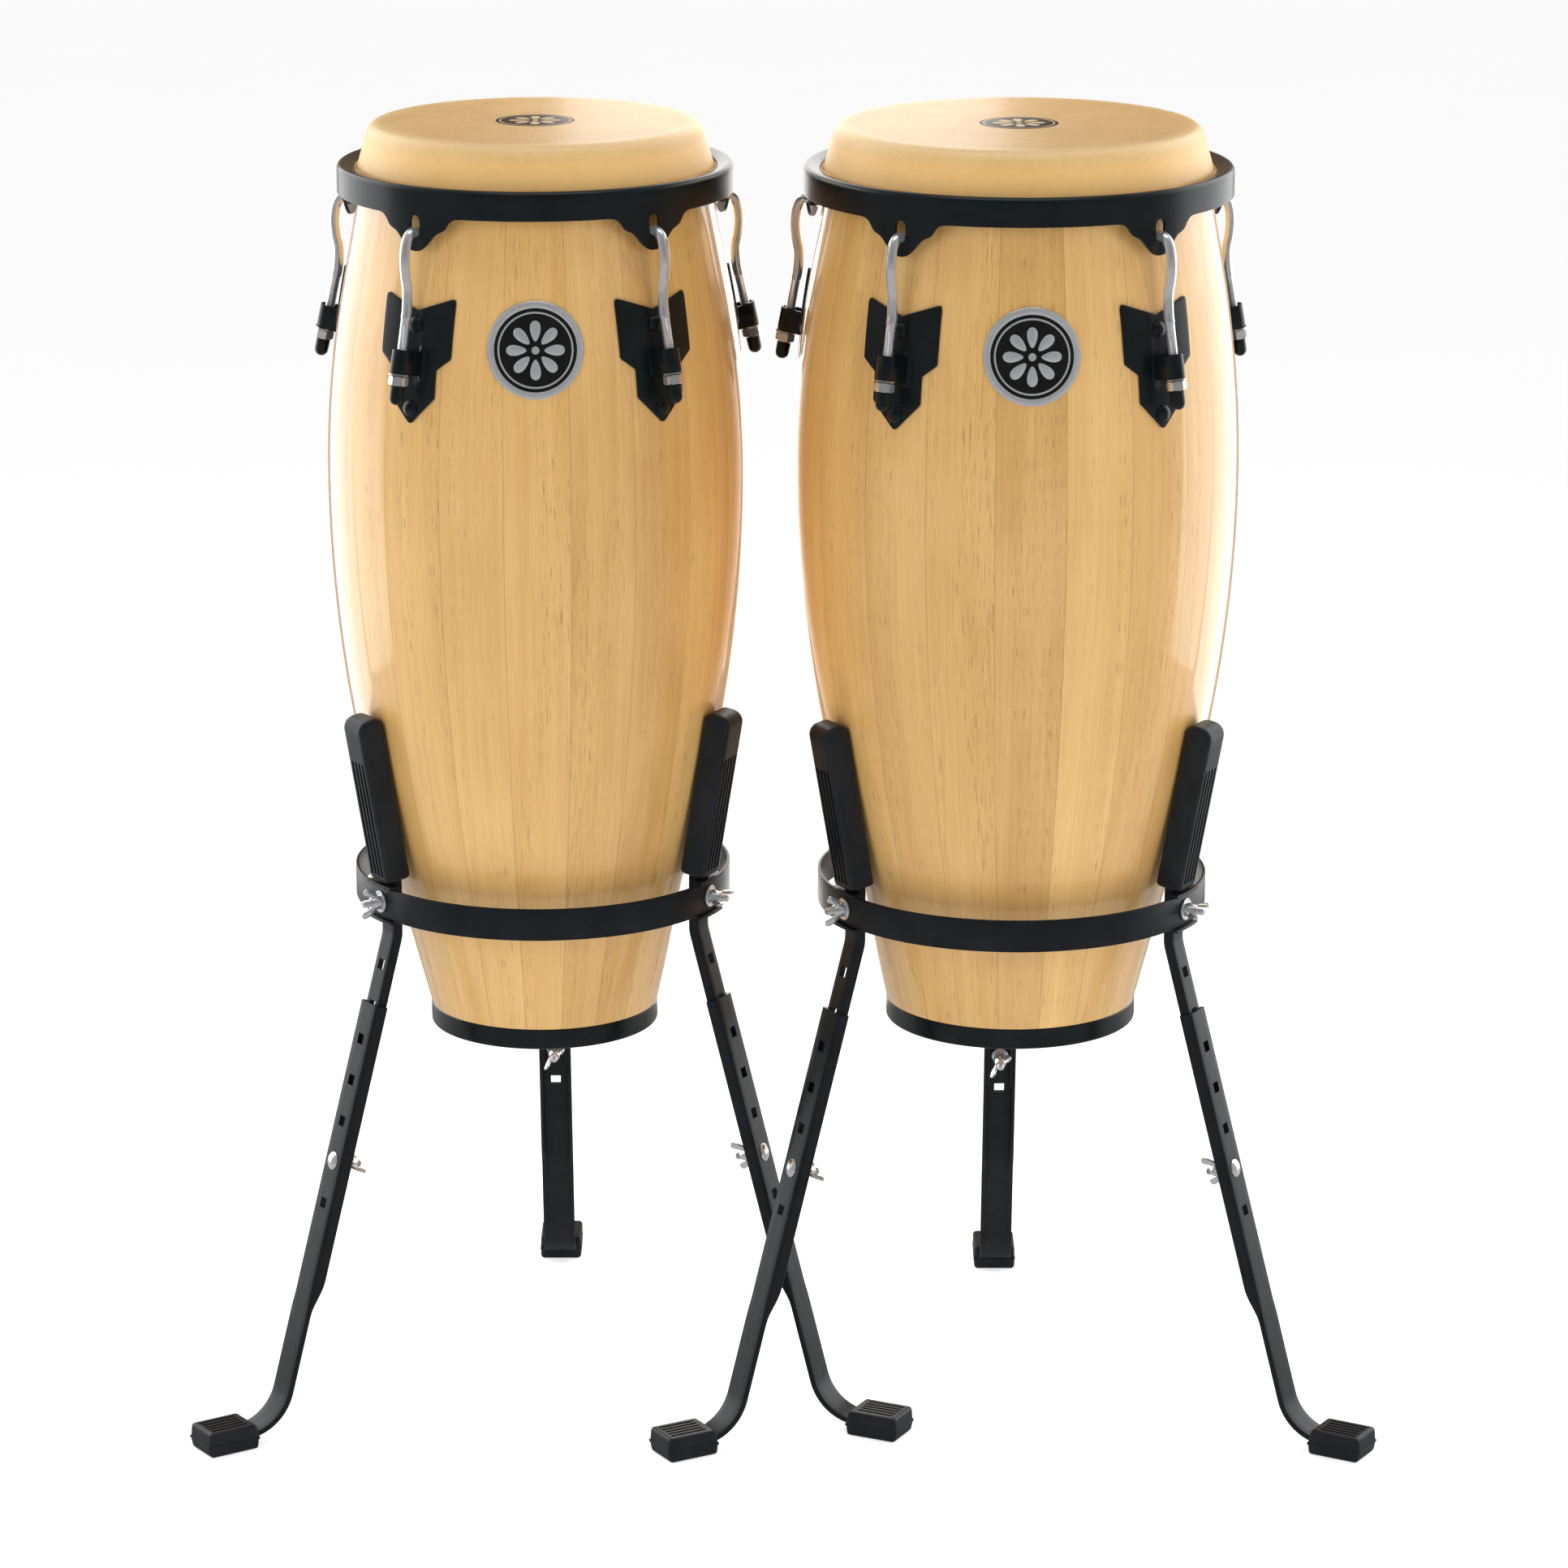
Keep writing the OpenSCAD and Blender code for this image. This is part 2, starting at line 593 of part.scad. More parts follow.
// A curved plate between arm and ring, with lips that hook over the ring's edges
saddle_w = 34;
saddle_t = 2.2;
lip = 3.4;
module saddles(d) color("dimgray") at_stand(d) {
    inner = ring_r(d) - ring_t - 0.2;
    half = asin(saddle_w / 2 / inner);
    low = ring_z - 0.2;
    high = ring_z + ring_h + 0.2;
    outer = ring_r(d) + lip;
    for (k = [1:3]) at_bearing(leg_bearing(d, k)) difference() {
        rotate([0, 0, -90 - half]) rotate_extrude(angle = 2 * half) polygon([
            [inner - saddle_t, low - saddle_t], [outer, low - saddle_t], [outer, low], [inner, low],
            [inner, high], [outer, high], [outer, high + saddle_t], [inner - saddle_t, high + saddle_t]
        ]);
        outward_rod(ring_bolt_d + 0.4, inner - 20, inner + 20, ring_mid);
    }
}

// A rubber pad around an arm: round top corner, four grooves down its outer face
module pads(d) color("black") at_stand(d)
    for (k = [1:3]) at_bearing(leg_bearing(d, k)) pad(d);

module pad(d) {
    round = 9;
    low = [pad_r(d, pad_low_z), pad_low_z];
    high = [pad_r(d, pad_high_z), pad_high_z];
    axis = unit(high - low);
    out = [axis[1], -axis[0]];
    outer_top = high + pad_t * out;
    tilt = atan(pad_slope(d));
    outer_centre = outer_top - round * (out + axis);
    inner_centre = high + round * out - round * axis;
    difference() {
        side_view(pad_w) polygon(concat(
            [low, low + pad_t * out],
            arc_points(outer_centre, round, -tilt, 90 - tilt, 5),
            arc_points(inner_centre, round, 90 - tilt, 180 - tilt, 5)
        ));
        side_view(arm_w + 0.1) polygon(strip(pocket_face(d), arm_d + 0.1));
        for (x = [-7.5, -2.5, 2.5, 7.5]) translate([x, 0, 0]) side_view(1.6) polygon([
            low + (pad_t + 1) * out + 4 * axis, low + (pad_t - 1.4) * out + 4 * axis,
            high + (pad_t - 1.4) * out - 34 * axis, high + (pad_t + 1) * out - 34 * axis
        ]);
    }
}

// The arm's outer face with a hair of room, for the pocket inside the pad
function pocket_face(d) = [
    [arm_face_r(d) + 0.05, pad_low_z - 20], [arm_face_r(d) + 0.05, arm_lean_z(d)],
    [arm_top_r(d) + 0.05, arm_top_z + 0.1]
];

// A wing nut with +Z away from the work: round hub, cone and two raised wings
wing_span = 26;
wing_t = 2.4;
module wing_nut() difference() {
    union() {
        cylinder(d = 11, h = 3, $fn = 32);
        cylinder(d = 9, h = 8, $fn = 32);
        for (side = [-1, 1]) rotate([90, 0, 0]) linear_extrude(wing_t, center = true) wing(side);
    }
    translate([0, 0, -1]) cylinder(d = ring_bolt_d + 0.1, h = 12, $fn = 32);
}

module wing(side) {
    tip = wing_span / 2 - 4;
    polygon([[side * 4, 0.8], [side * (tip + 1), 7], [side * (tip - 3), 11], [side * 4, 7.5]]);
    translate([side * tip, 10]) circle(r = 4, $fn = 32);
}

// Bolt through arm, saddle and ring: dome head inside the arm's channel, washer and wing nut outside
wing_turns = [80, 15, 40];
module ring_bolts(d) color("silver") at_stand(d)
    for (k = [1:3]) at_bearing(leg_bearing(d, k)) {
        web = arm_face_r(d) - arm_t;
        outward_rod(ring_bolt_d, web - 1, ring_r(d) + 16, ring_mid);
        translate([0, -web + 0.1, ring_mid]) rotate([-90, 0, 0]) round_head(13, 3.6);
        outward_washer(ring_r(d) + 0.1, ring_mid);
        translate([0, -ring_r(d) - 1.8, ring_mid]) rotate([90, 0, 0]) rotate([0, 0, wing_turns[k - 1]]) wing_nut();
    }

module outward_washer(r, z) difference() {
    outward_rod(17, r, r + 1.6, z);
    outward_rod(ring_bolt_d + 0.1, r - 1, r + 3, z);
}

// The lower leg: a channel over the upper leg, flattened to a strap that bends out into the foot
function leg_outer_r(d, z) = leg_face_r(d, z) + (leg_t + leg_gap) / cos(leg_tilt);
function strap_path(d) = let (
        z_c = strap_z + strap_t / 2 + strap_bend_r,
        z_t = z_c - strap_bend_r * sin(leg_tilt),
        c = [leg_outer_r(d, z_t) + strap_bend_r * cos(leg_tilt), z_c]
    ) concat(
        [[leg_outer_r(d, leg_channel_end_z + 4), leg_channel_end_z + 4]],
        arc_points(c, strap_bend_r, 180 + leg_tilt, 270, 8),
        [[foot_reach - 6, strap_z + strap_t / 2]]
    );

module leg(d, k) color("dimgray") at_stand(d) at_bearing(leg_bearing(d, k)) {
    top_end = [leg_outer_r(d, leg_top_z), leg_top_z];
    low_end = [leg_outer_r(d, leg_channel_end_z), leg_channel_end_z];
    difference() {
        union() {
            channel([low_end, top_end], leg_w, leg_d, leg_t);
            side_view(leg_w) polygon(strip_out(strap_path(d), strap_t));
            side_view(leg_w) polygon(flare(d));
        }
        for (i = [-1, 1, 2, 3]) on_leg(d, hole_z(i)) square_hole();
        on_leg(d, leg_bolt_z) cube([hole_side, hole_side, 30], center = true);
    }
}

// The strap is drawn along its outer face, so its thickness is on the path's other side
function strip_out(p, t) = concat(p, [for (i = [len(p) - 1:-1:0]) (shifted(p, -t))[i]]);

// Where the channel's flanges taper away into the flat strap
function flare(d) = let (
        a = [leg_outer_r(d, leg_channel_end_z + 16), leg_channel_end_z + 16],
        b = [leg_outer_r(d, leg_channel_end_z - 8), leg_channel_end_z - 8],
        inward = [-cos(leg_tilt), -sin(leg_tilt)]
    ) [a, b, b + strap_t * inward, a + leg_d * inward];

// A rubber foot around the strap's end: grooved top, chamfered underside
module foot(d, k) color("black") at_stand(d) at_bearing(leg_bearing(d, k)) {
    r0 = foot_reach - foot_l;
    chamfer = 2;
    difference() {
        side_view(foot_w) polygon([
            [r0 + 8, 0], [foot_reach - chamfer, 0], [foot_reach, chamfer], [foot_reach, foot_h - chamfer],
            [foot_reach - chamfer, foot_h], [r0 + chamfer, foot_h], [r0, foot_h - chamfer], [r0, 4]
        ]);
        side_view(leg_w + 0.1) polygon(strip_out(strap_path(d), strap_t + 0.1));
        side_view(leg_w + 0.1) polygon(strip(strap_path(d), 0.1));
        for (x = [-10, -5, 0, 5, 10]) translate([x, 0, 0]) side_view(1.8) polygon([
            [r0 + 6, foot_h - 1.4], [foot_reach - 6, foot_h - 1.4],
            [foot_reach - 6, foot_h + 1], [r0 + 6, foot_h + 1]
        ]);
    }
}

// The carriage bolt that locks a leg: dome head outside, washer and wing nut inside the upper leg
leg_wing_turns = [20, 70, 50];
module leg_bolt(d, k) color("silver") at_stand(d) at_bearing(leg_bearing(d, k)) on_leg(d, leg_bolt_z) {
    face = leg_t + leg_gap;
    washer_t = 1.4;
    under = -arm_t - 0.3 - washer_t;
    translate([0, 0, face + 0.1]) round_head(14, 2.6);
    translate([0, 0, face / 2 + 0.4]) cube([7.6, 7.6, face - 0.6], center = true);
    translate([0, 0, -22]) cylinder(d = ring_bolt_d, h = 22 + face + 0.5, $fn = 32);
    difference() {
        translate([0, 0, under]) cylinder(d = 14, h = washer_t, $fn = 48);
        translate([0, 0, under - 1]) cylinder(d = ring_bolt_d + 0.1, h = 4, $fn = 32);
    }
    translate([0, 0, under - 0.1]) rotate([180, 0, 0]) rotate([0, 0, leg_wing_turns[k - 1]]) {
        difference() {
            cylinder(d = 9, h = 5, $fn = 32);
            translate([0, 0, -1]) cylinder(d = ring_bolt_d + 0.1, h = 8, $fn = 32);
        }
        translate([0, 0, 4.9]) wing_nut();
    }
}

// ---------------------------------------------------------------- which node to draw
module drum_part(p, d) {
    if (p == "shell") shell(d);
    if (p == "head_skin") head_skin(d);
    if (p == "flesh_hoop") flesh_hoop(d);
    if (p == "rim") rim(d);
    if (p == "hooks") hooks(d);
    if (p == "hook_caps") hook_caps(d);
    if (p == "lug_plates") lug_plates(d);
    if (p == "lug_bolts") lug_bolts(d);
    if (p == "lug_washers") lug_washers(d);
    if (p == "base_ring") base_ring(d);
    if (p == "badge") badge(d);
    if (p == "ring") ring(d);
    if (p == "arms") arms(d);
    if (p == "pads") pads(d);
    if (p == "saddles") saddles(d);
    if (p == "ring_bolts") ring_bolts(d);
}

module leg_part(p, d, k) {
    if (p == "leg") leg(d, k);
    if (p == "foot") foot(d, k);
    if (p == "leg_bolt") leg_bolt(d, k);
}

function drum(name) = name == "quinto" ? QUINTO : CONGA;
for (n = DRUMS) {
    for (p = concat(DRUM_PARTS, STAND_PARTS)) drum_part(p, drum(n));
    for (k = [1:lug_count]) tuning_nut(drum(n), k);
    for (p = LEG_PARTS) for (k = [1:3])
        leg_part(p, drum(n), k);
}
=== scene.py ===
"""The looks of a pair of conga drums on basket stands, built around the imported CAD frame.

Shapes are given in millimetres and turned into metres when a mesh is made.
A bearing is an angle in degrees seen from above, from the front (-Y) towards the right (+X).
In a local frame X runs to the right of the bearing, -Y outward and Z up.
"""

import math
import random

import bpy
import numpy as np
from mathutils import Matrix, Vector
from mathutils.geometry import delaunay_2d_cdt


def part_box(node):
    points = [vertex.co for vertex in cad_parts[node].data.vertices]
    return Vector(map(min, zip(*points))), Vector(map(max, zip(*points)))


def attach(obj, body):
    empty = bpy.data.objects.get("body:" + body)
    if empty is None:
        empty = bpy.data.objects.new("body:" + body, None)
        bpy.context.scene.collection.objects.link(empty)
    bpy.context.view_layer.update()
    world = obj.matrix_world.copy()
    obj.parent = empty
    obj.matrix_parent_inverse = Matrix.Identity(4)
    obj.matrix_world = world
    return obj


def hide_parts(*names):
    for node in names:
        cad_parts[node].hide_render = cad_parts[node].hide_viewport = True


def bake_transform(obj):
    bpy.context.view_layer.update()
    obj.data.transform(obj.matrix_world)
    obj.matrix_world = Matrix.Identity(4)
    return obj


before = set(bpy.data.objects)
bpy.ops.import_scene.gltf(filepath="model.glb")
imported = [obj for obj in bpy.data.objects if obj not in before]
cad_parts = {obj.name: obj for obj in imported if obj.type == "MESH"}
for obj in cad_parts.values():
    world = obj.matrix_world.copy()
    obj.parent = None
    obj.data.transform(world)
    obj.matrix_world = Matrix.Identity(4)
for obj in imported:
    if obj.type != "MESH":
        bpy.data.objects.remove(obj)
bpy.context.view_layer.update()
MM = 0.001
LUGS = 5
DRUM_TURN = 1.8  # bearing of badge and print
NUT_DEPTH = 173  # of the tuning nuts below the head
ROD_OUT = 18  # from the shell to a rod's axis at its nut

# ---- sizes shared with the frame


class Drum:
    def __init__(self, name, **sizes):
        self.name = name
        self.__dict__.update(sizes)
        low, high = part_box(name + "_rim")
        self.x = (low.x + high.x) / 2 / MM
        self.y = (low.y + high.y) / 2 / MM
        self.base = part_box(name + "_base_ring")[0].z / MM

    def r(self, z):
        """Outside radius of the shell at a height above the drum's base: an arc on each side of the belly,
        and a straight line on from the arc's end."""
        low = z < self.belly_z
        bow = self.low_arc if low else self.high_arc
        end = abs(self.belly_z - (self.low_end if low else self.high_end))
        rise = abs(z - self.belly_z)
        on_arc = min(rise, end)
        radius = self.belly - (bow - math.sqrt(bow * bow - on_arc * on_arc))
        return radius - end / math.sqrt(bow * bow - end * end) * (rise - on_arc)

    def lean(self, z):
        """The shell's angle from upright, in degrees."""
        return math.degrees(math.atan((self.r(z - 1) - self.r(z + 1)) / 2))

    @property
    def hook_foot(self):
        """Where the hook's rod comes out under the lug, as radius and height."""
        z = self.top - NUT_DEPTH
        return np.array([self.r(z) + ROD_OUT, z])

    @property
    def hook_tilt(self):
        v = self.hook_foot - np.array([self.rim + 8.6, self.top - 111])
        return math.degrees(math.atan(v[0] / -v[1]))

    def along_rod(self, s):
        """The point on the rod's axis a distance s up from its foot."""
        a = math.radians(self.hook_tilt)
        return self.hook_foot + s * np.array([-math.sin(a), math.cos(a)])


DRUMS = [
    Drum("quinto", belly=161.9, belly_z=440, low_arc=1130, low_end=150, high_arc=780, high_end=585,
         top=711, rim=151, ring=146.4, legs=(-56.4, 63.6, 180), seed=11),
    Drum("conga", belly=170.3, belly_z=438, low_arc=1083, low_end=167, high_arc=886, high_end=600,
         top=702, rim=163.1, ring=151, legs=(-60, 60, 180), seed=23),
]
STAVES, STAVE_T = 20, 12
SKIN_T = 1.8
RING_Z, RING_H, RING_T = 405, 25, 2.5
LEG_SLOPE = 0.2824
LEG_TILT = math.degrees(math.atan(LEG_SLOPE))
FOOT_REACH = 316  # from the stand's axis to the tip of a foot
KNEE_Z = RING_Z - 14
LEG_BOLT_Z = 215
HOLE_PITCH = 33
WEB_T = 2.0  # sheet of the upper legs
LEG_GAP = RING_T + 3  # from the ring's outside in to an upper leg's face


def lug_bearing(k):
    """Bearing of lug number k, counted from 1; the badge looks the opposite way from lug 3."""
    return DRUM_TURN + (k - 3) * 72 + 180


# ---- placing


def move(x, y, z):
    m = np.eye(4)
    m[:3, 3] = (x, y, z)
    return m


def turn(axis, degrees):
    c, s = math.cos(math.radians(degrees)), math.sin(math.radians(degrees))
    m = np.eye(4)
    i, j = {"x": (1, 2), "y": (2, 0), "z": (0, 1)}[axis]
    m[i, i], m[i, j], m[j, i], m[j, j] = c, -s, s, c
    return m


def at_drum(d, bearing=0.0):
    return move(d.x, d.y, d.base) @ turn("z", bearing)


def at_stand(d, bearing=0.0):
    return move(d.x, d.y, 0) @ turn("z", bearing)


def at_lugs(d):
    return [at_drum(d, lug_bearing(k)) for k in range(1, LUGS + 1)]


def at_legs(d):
    return [at_stand(d, b) for b in d.legs]


def on_rod(d, s):
    p = d.along_rod(s)
    return move(0, -p[0], p[1]) @ turn("x", -d.hook_tilt)


def at_surface(d, z):
    return move(0, -d.r(z), z) @ turn("x", 90 - d.lean(z))


def leg_face(d, z):
    """Radius of an upper leg's outer face below the knee."""
    return d.ring - LEG_GAP + LEG_SLOPE * (KNEE_Z - z)


def on_leg(d, z):
    return move(0, -leg_face(d, z), z) @ turn("x", 90 - LEG_TILT)


def side(points):
    """Side-view points, as radius and height, in the local frame."""
    p = np.asarray(points, float)
    return np.stack([np.zeros(len(p)), -p[:, 0], p[:, 1]], 1)


# ---- curves


def arc(centre, r, a, b, count):
    t = np.radians(np.linspace(a, b, count + 1))
    return [(centre[0] + r * math.cos(x), centre[1] + r * math.sin(x)) for x in t]


def smooth(points, per=8):
    """A smooth curve through every point."""
    p = np.asarray(points, float)
    p = np.vstack([2 * p[0] - p[1], p, 2 * p[-1] - p[-2]])
    out = []
    for i in range(1, len(p) - 2):
        for t in np.linspace(0, 1, per, endpoint=False):
            a, b, c, d = p[i - 1], p[i], p[i + 1], p[i + 2]
            out.append(0.5 * (2 * b + (c - a) * t + (2 * a - 5 * b + 4 * c - d) * t * t
                              + (3 * b - a - 3 * c + d) * t ** 3))
    out.append(p[-2])
    return np.array(out)


def filleted(points, radii, count=6):
    """The polyline with its inner corners rounded; radii is one number per point, 0 for none."""
    p = [np.asarray(x, float) for x in points]
    closed = len(radii) == len(p) and bool(radii[0])
    out = []
    for i, q in enumerate(p):
        r = radii[i]
        if not r or (not closed and i in (0, len(p) - 1)):
            out.append(q)
            continue
        u = p[i - 1] - q
        v = p[(i + 1) % len(p)] - q
        u, v = u / np.linalg.norm(u), v / np.linalg.norm(v)
        half = math.acos(max(-1, min(1, float(u @ v)))) / 2
        reach = r / math.tan(half)
        centre = q + (u + v) / np.linalg.norm(u + v) * r / math.sin(half)
        a, b = q + u * reach - centre, q + v * reach - centre
        a0, a1 = math.atan2(a[1], a[0]), math.atan2(b[1], b[0])
        step = (a1 - a0 + math.pi) % (2 * math.pi) - math.pi
        out += [centre + r * np.array([math.cos(a0 + step * t), math.sin(a0 + step * t)])
                for t in np.linspace(0, 1, count + 1)]
    return np.array(out)


def loop_normals(p):
    """Outward unit normals of a closed anticlockwise loop."""
    e = np.roll(p, -1, 0) - p
    e = e / np.maximum(np.linalg.norm(e, axis=1), 1e-9)[:, None]
    n = np.stack([e[:, 1], -e[:, 0]], 1)
    m = n + np.roll(n, 1, 0)
    m = m / np.maximum(np.linalg.norm(m, axis=1), 1e-9)[:, None]
    share = np.maximum(np.einsum("ij,ij->i", m, n), 0.4)
    return m / share[:, None]


def distances(path):
    """Distance along a path to each of its points."""
    return np.concatenate([[0], np.cumsum(np.linalg.norm(np.diff(np.asarray(path, float), axis=0), axis=1))])


def resampled(p, spacing):
    """A closed loop with more points, at most the spacing apart."""
    p = np.asarray(p, float)
    out = []
    for a, b in zip(p, np.roll(p, -1, 0)):
        n = max(1, math.ceil(np.linalg.norm(b - a) / spacing))
        out += [a + (b - a) * t / n for t in range(n)]
    return np.array(out)


def inside(loop, q):
    """Whether a point lies inside a closed loop."""
    x, y = q
    hit = False
    for (x0, y0), (x1, y1) in zip(np.roll(loop, 1, 0), loop):
        if (y0 > y) != (y1 > y) and x < (x1 - x0) * (y - y0) / (y1 - y0) + x0:
            hit = not hit
    return hit


# ---- meshes as (points, faces)


def around(angles, profile):
    """A (radius, height) profile's points at each angle about Z."""
    return np.array([(r * math.sin(a), -r * math.cos(a), z) for a in angles for r, z in profile])


def quads(rings, n, wrap=False, loop=True, flip=False):
    """Faces between successive rings of n points; wrap joins the last ring to the first."""
    f = []
    for c in range(rings if wrap else rings - 1):
        a, b = c * n, (c + 1) % rings * n
        for i in range(n if loop else n - 1):
            j = (i + 1) % n
            f.append((a + i, b + i, b + j, a + j) if flip else (a + i, a + j, b + j, b + i))
    return f


def end_caps(rings, n):
    return [tuple(range(n))[::-1], tuple((rings - 1) * n + i for i in range(n))]


def lathe(profile, count=160, open_ends=False, arc_deg=360.0):
    """Turns (radius, height) points about Z. A closed profile makes a ring; open_ends joins a line that
    starts and ends on the axis. A part turn gets end caps."""
    p = np.asarray(profile, float)
    whole = arc_deg >= 359.9
    columns = count if whole else count + 1
    angles = np.radians(np.linspace(-arc_deg / 2, arc_deg / 2, count + 1)[:columns])
    f = quads(columns, len(p), whole, not open_ends, True)
    return around(angles, p), f if whole else f + end_caps(columns, len(p))


def tube(path, radius, segments=20):
    """A round rod along a path. Its radius is a number, a list, or a function of (index, angle)."""
    p = np.asarray(path, float)
    t = np.gradient(p, axis=0)
    t /= np.linalg.norm(t, axis=1)[:, None]
    side_axis = np.cross(t[0], [0.0, 0, 1]) if abs(t[0][2]) < 0.9 else np.cross(t[0], [1.0, 0, 0])
    side_axis /= np.linalg.norm(side_axis)
    v = []
    for i in range(len(p)):
        side_axis = side_axis - t[i] * (side_axis @ t[i])
        side_axis /= np.linalg.norm(side_axis)
        other = np.cross(t[i], side_axis)
        for k in range(segments):
            a = 2 * math.pi * k / segments
            r = radius(i, a) if callable(radius) else (radius[i] if hasattr(radius, "__len__") else radius)
            v.append(p[i] + r * (math.cos(a) * side_axis + math.sin(a) * other))
    return np.array(v), quads(len(p), segments) + end_caps(len(p), segments)


def threaded(z0, z1, dia, pitch, segments=16, depth=None):
    """A threaded rod along Z, with a chamfer at both ends."""
    depth = depth or pitch * 0.55
    count = int((z1 - z0) / pitch * 4)
    z = np.linspace(z0, z1, count + 1)

    def radius(i, a):
        phase = (z[i] / pitch + a / (2 * math.pi)) % 1.0
        r = dia / 2 - depth * abs(phase - 0.5) * 2
        return min(r, dia / 2 - 1.1 + (z[i] - z0), dia / 2 - 1.1 + (z1 - z[i]))

    return tube(np.stack([z * 0, z * 0, z], 1), radius, segments)


def flat_plate(outline, t, edge, spacing, fine_points):
    """A plate of thickness t with rounded edges and an anticlockwise outline, as (u, v, height) points."""
    loop = resampled(outline, spacing)
    normals = loop_normals(loop)
    n = len(loop)
    rings = [(edge, 0.0), (edge * 0.3, edge * 0.3), (0.0, edge), (0.0, t - edge),
             (edge * 0.13, t - edge * 0.5), (edge * 0.5, t - edge * 0.13), (edge, t)]
    v = [(*q, height) for inset, height in rings for q in loop - inset * normals]
    f = quads(len(rings), n)
    for start, flip in ((0, True), (len(v) - n, False)):
        border = np.array([v[start + i][:2] for i in range(n)])
        points, owners = [Vector(q) for q in border], [start + i for i in range(n)]
        edges = [(i, (i + 1) % n) for i in range(n)]
        low, high = border.min(0), border.max(0)
        grid = [(x, y) for x in np.arange(low[0] + spacing / 2, high[0], spacing)
                for y in np.arange(low[1] + spacing / 2, high[1], spacing)]
        for q in [*grid, *fine_points]:
            clear = np.linalg.norm(border - np.array(q), axis=1).min() > spacing * 0.35
            if inside(border, q) and clear:
                points.append(Vector(q))
                owners.append(len(v))
                v.append((*q, v[start][2]))
        _, _, triangles, origin, _, _ = delaunay_2d_cdt(points, edges, [], 1, 1e-5)
        names = [owners[o[0]] if o else None for o in origin]
        for tri in triangles:
            if any(names[i] is None for i in tri):
                continue
            tri = [names[i] for i in tri]
            a, b, c = (np.array(v[i][:2]) for i in tri)
            up = (b[0] - a[0]) * (c[1] - a[1]) - (b[1] - a[1]) * (c[0] - a[0]) > 0
            f.append(tuple(tri[::-1] if up == flip else tri))
    return np.array(v, float), f


def slab(xs, profile, inset, dent=None):
    """A block across X: a closed (u, v) profile, drawn in by inset(x), and pressed in by dent(x, index)."""
    base = np.asarray(profile, float)
    normals = loop_normals(base)
    v = []
    for x in xs:
        ring = base - normals * inset(x)
        if dent:
            ring = ring - normals * np.array([dent(x, q) for q in base])[:, None]
        v += [(x, *q) for q in ring]
    return np.array(v, float), quads(len(xs), len(base)) + end_caps(len(xs), len(base))


def channel(rows, width, section, holes=(), corner=2.4, hole=4.0):
    """A bent channel. rows are (distance, point, inward normal) down the outer face; section(distance) gives
    (flange depth, web thickness). holes are the (from, to) stretches where the web is open, to x = +-hole."""
    v, f = [], []
    half = width / 2
    for s, p, n in rows:
        depth, t = section(s)
        rc = min(corner, depth * 0.45)
        ri = max(rc - t, 0.3)
        tip = 0.5
        right = [(hole, 0)]
        right += [(half - rc + rc * math.sin(a), rc - rc * math.cos(a)) for a in np.radians((0, 30, 60, 90))]
        right += [(half, depth - tip), (half - tip, depth), (half - t + tip * 0.6, depth),
                  (half - t, depth - tip * 0.6), (half - t, min(t + ri, depth - 0.4 * tip)),
                  (half - t - ri, t), (hole, t)]
        left = [(-x, q) for x, q in right[::-1]]
        ring = left[6:] + right + left[:6]
        v += [(x, -(p[0] + n[0] * q), p[1] + n[1] * q) for x, q in ring]
    m = len(ring)
    outer, inner = 5, 17  # where the web's outer and inner stretches start in the ring
    for c in range(len(rows) - 1):
        middle = (rows[c][0] + rows[c + 1][0]) / 2
        open_here = any(a < middle < b for a, b in holes)
        for i in range(m):
            if open_here and i in (outer, inner):
                continue
            j = (i + 1) % m
            f.append((c * m + i, c * m + j, (c + 1) * m + j, (c + 1) * m + i))
        if open_here:
            a, b = c * m, (c + 1) * m
            f.append((a + outer, a + inner + 1, b + inner + 1, b + outer))
            f.append((a + inner, a + outer + 1, b + outer + 1, b + inner))
    for a, b in holes:
        for at, flip in ((a, False), (b, True)):
            c = min(range(len(rows)), key=lambda i: abs(rows[i][0] - at))
            quad = (c * m + outer, c * m + outer + 1, c * m + inner, c * m + inner + 1)
            f.append(quad[::-1] if flip else quad)
    return np.array(v, float), f + end_caps(len(rows), m)


def path_rows(path, extra, step=14.0):
    """Rows along a side-view path that runs downward: at its own points, in even steps on long runs, and at
    the extra distances."""
    p = np.asarray(path, float)
    lengths = distances(p)
    wanted = {round(float(e), 4) for e in extra}
    at = set(np.round(lengths, 4)) | wanted
    for a, b in zip(lengths[:-1], lengths[1:]):
        at |= {round(float(x), 4) for x in np.linspace(a, b, max(2, int((b - a) / step) + 2))}
    at = sorted(x for x in at if 0 <= x <= lengths[-1] + 1e-6)
    kept = [at[0]]
    for x in at[1:]:
        if x - kept[-1] >= 0.3:
            kept.append(x)
        elif x in wanted:
            kept[-1] = x
    rows = []
    for s in kept:
        q, a, b = (np.array([np.interp(x, lengths, p[:, i]) for i in (0, 1)]) for x in (s, s - 0.6, s + 0.6))
        t = b - a
        t /= np.linalg.norm(t)
        rows.append((s, q, np.array([t[1], -t[0]])))
    return rows


# ---- pieces


def add_object(data):
    o = bpy.data.objects.new(data.name, data)
    bpy.context.scene.collection.objects.link(o)
    return o


def enrol(mesh, drum, body, node, sharp):
    """An object for the mesh, riding on a body and standing in for a CAD node."""
    mesh.shade_smooth()
    mesh.set_sharp_from_angle(angle=math.radians(sharp))
    o = add_object(mesh)
    if body:
        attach(o, f"{drum.name}_{body}")
    if node:
        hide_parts(f"{drum.name}_{node}")
    return o


def add_data(mesh, domain, **layers):
    for name, values in layers.items():
        mesh.attributes.new(name, "FLOAT", domain).data.foreach_set("value", np.asarray(values, np.float32))


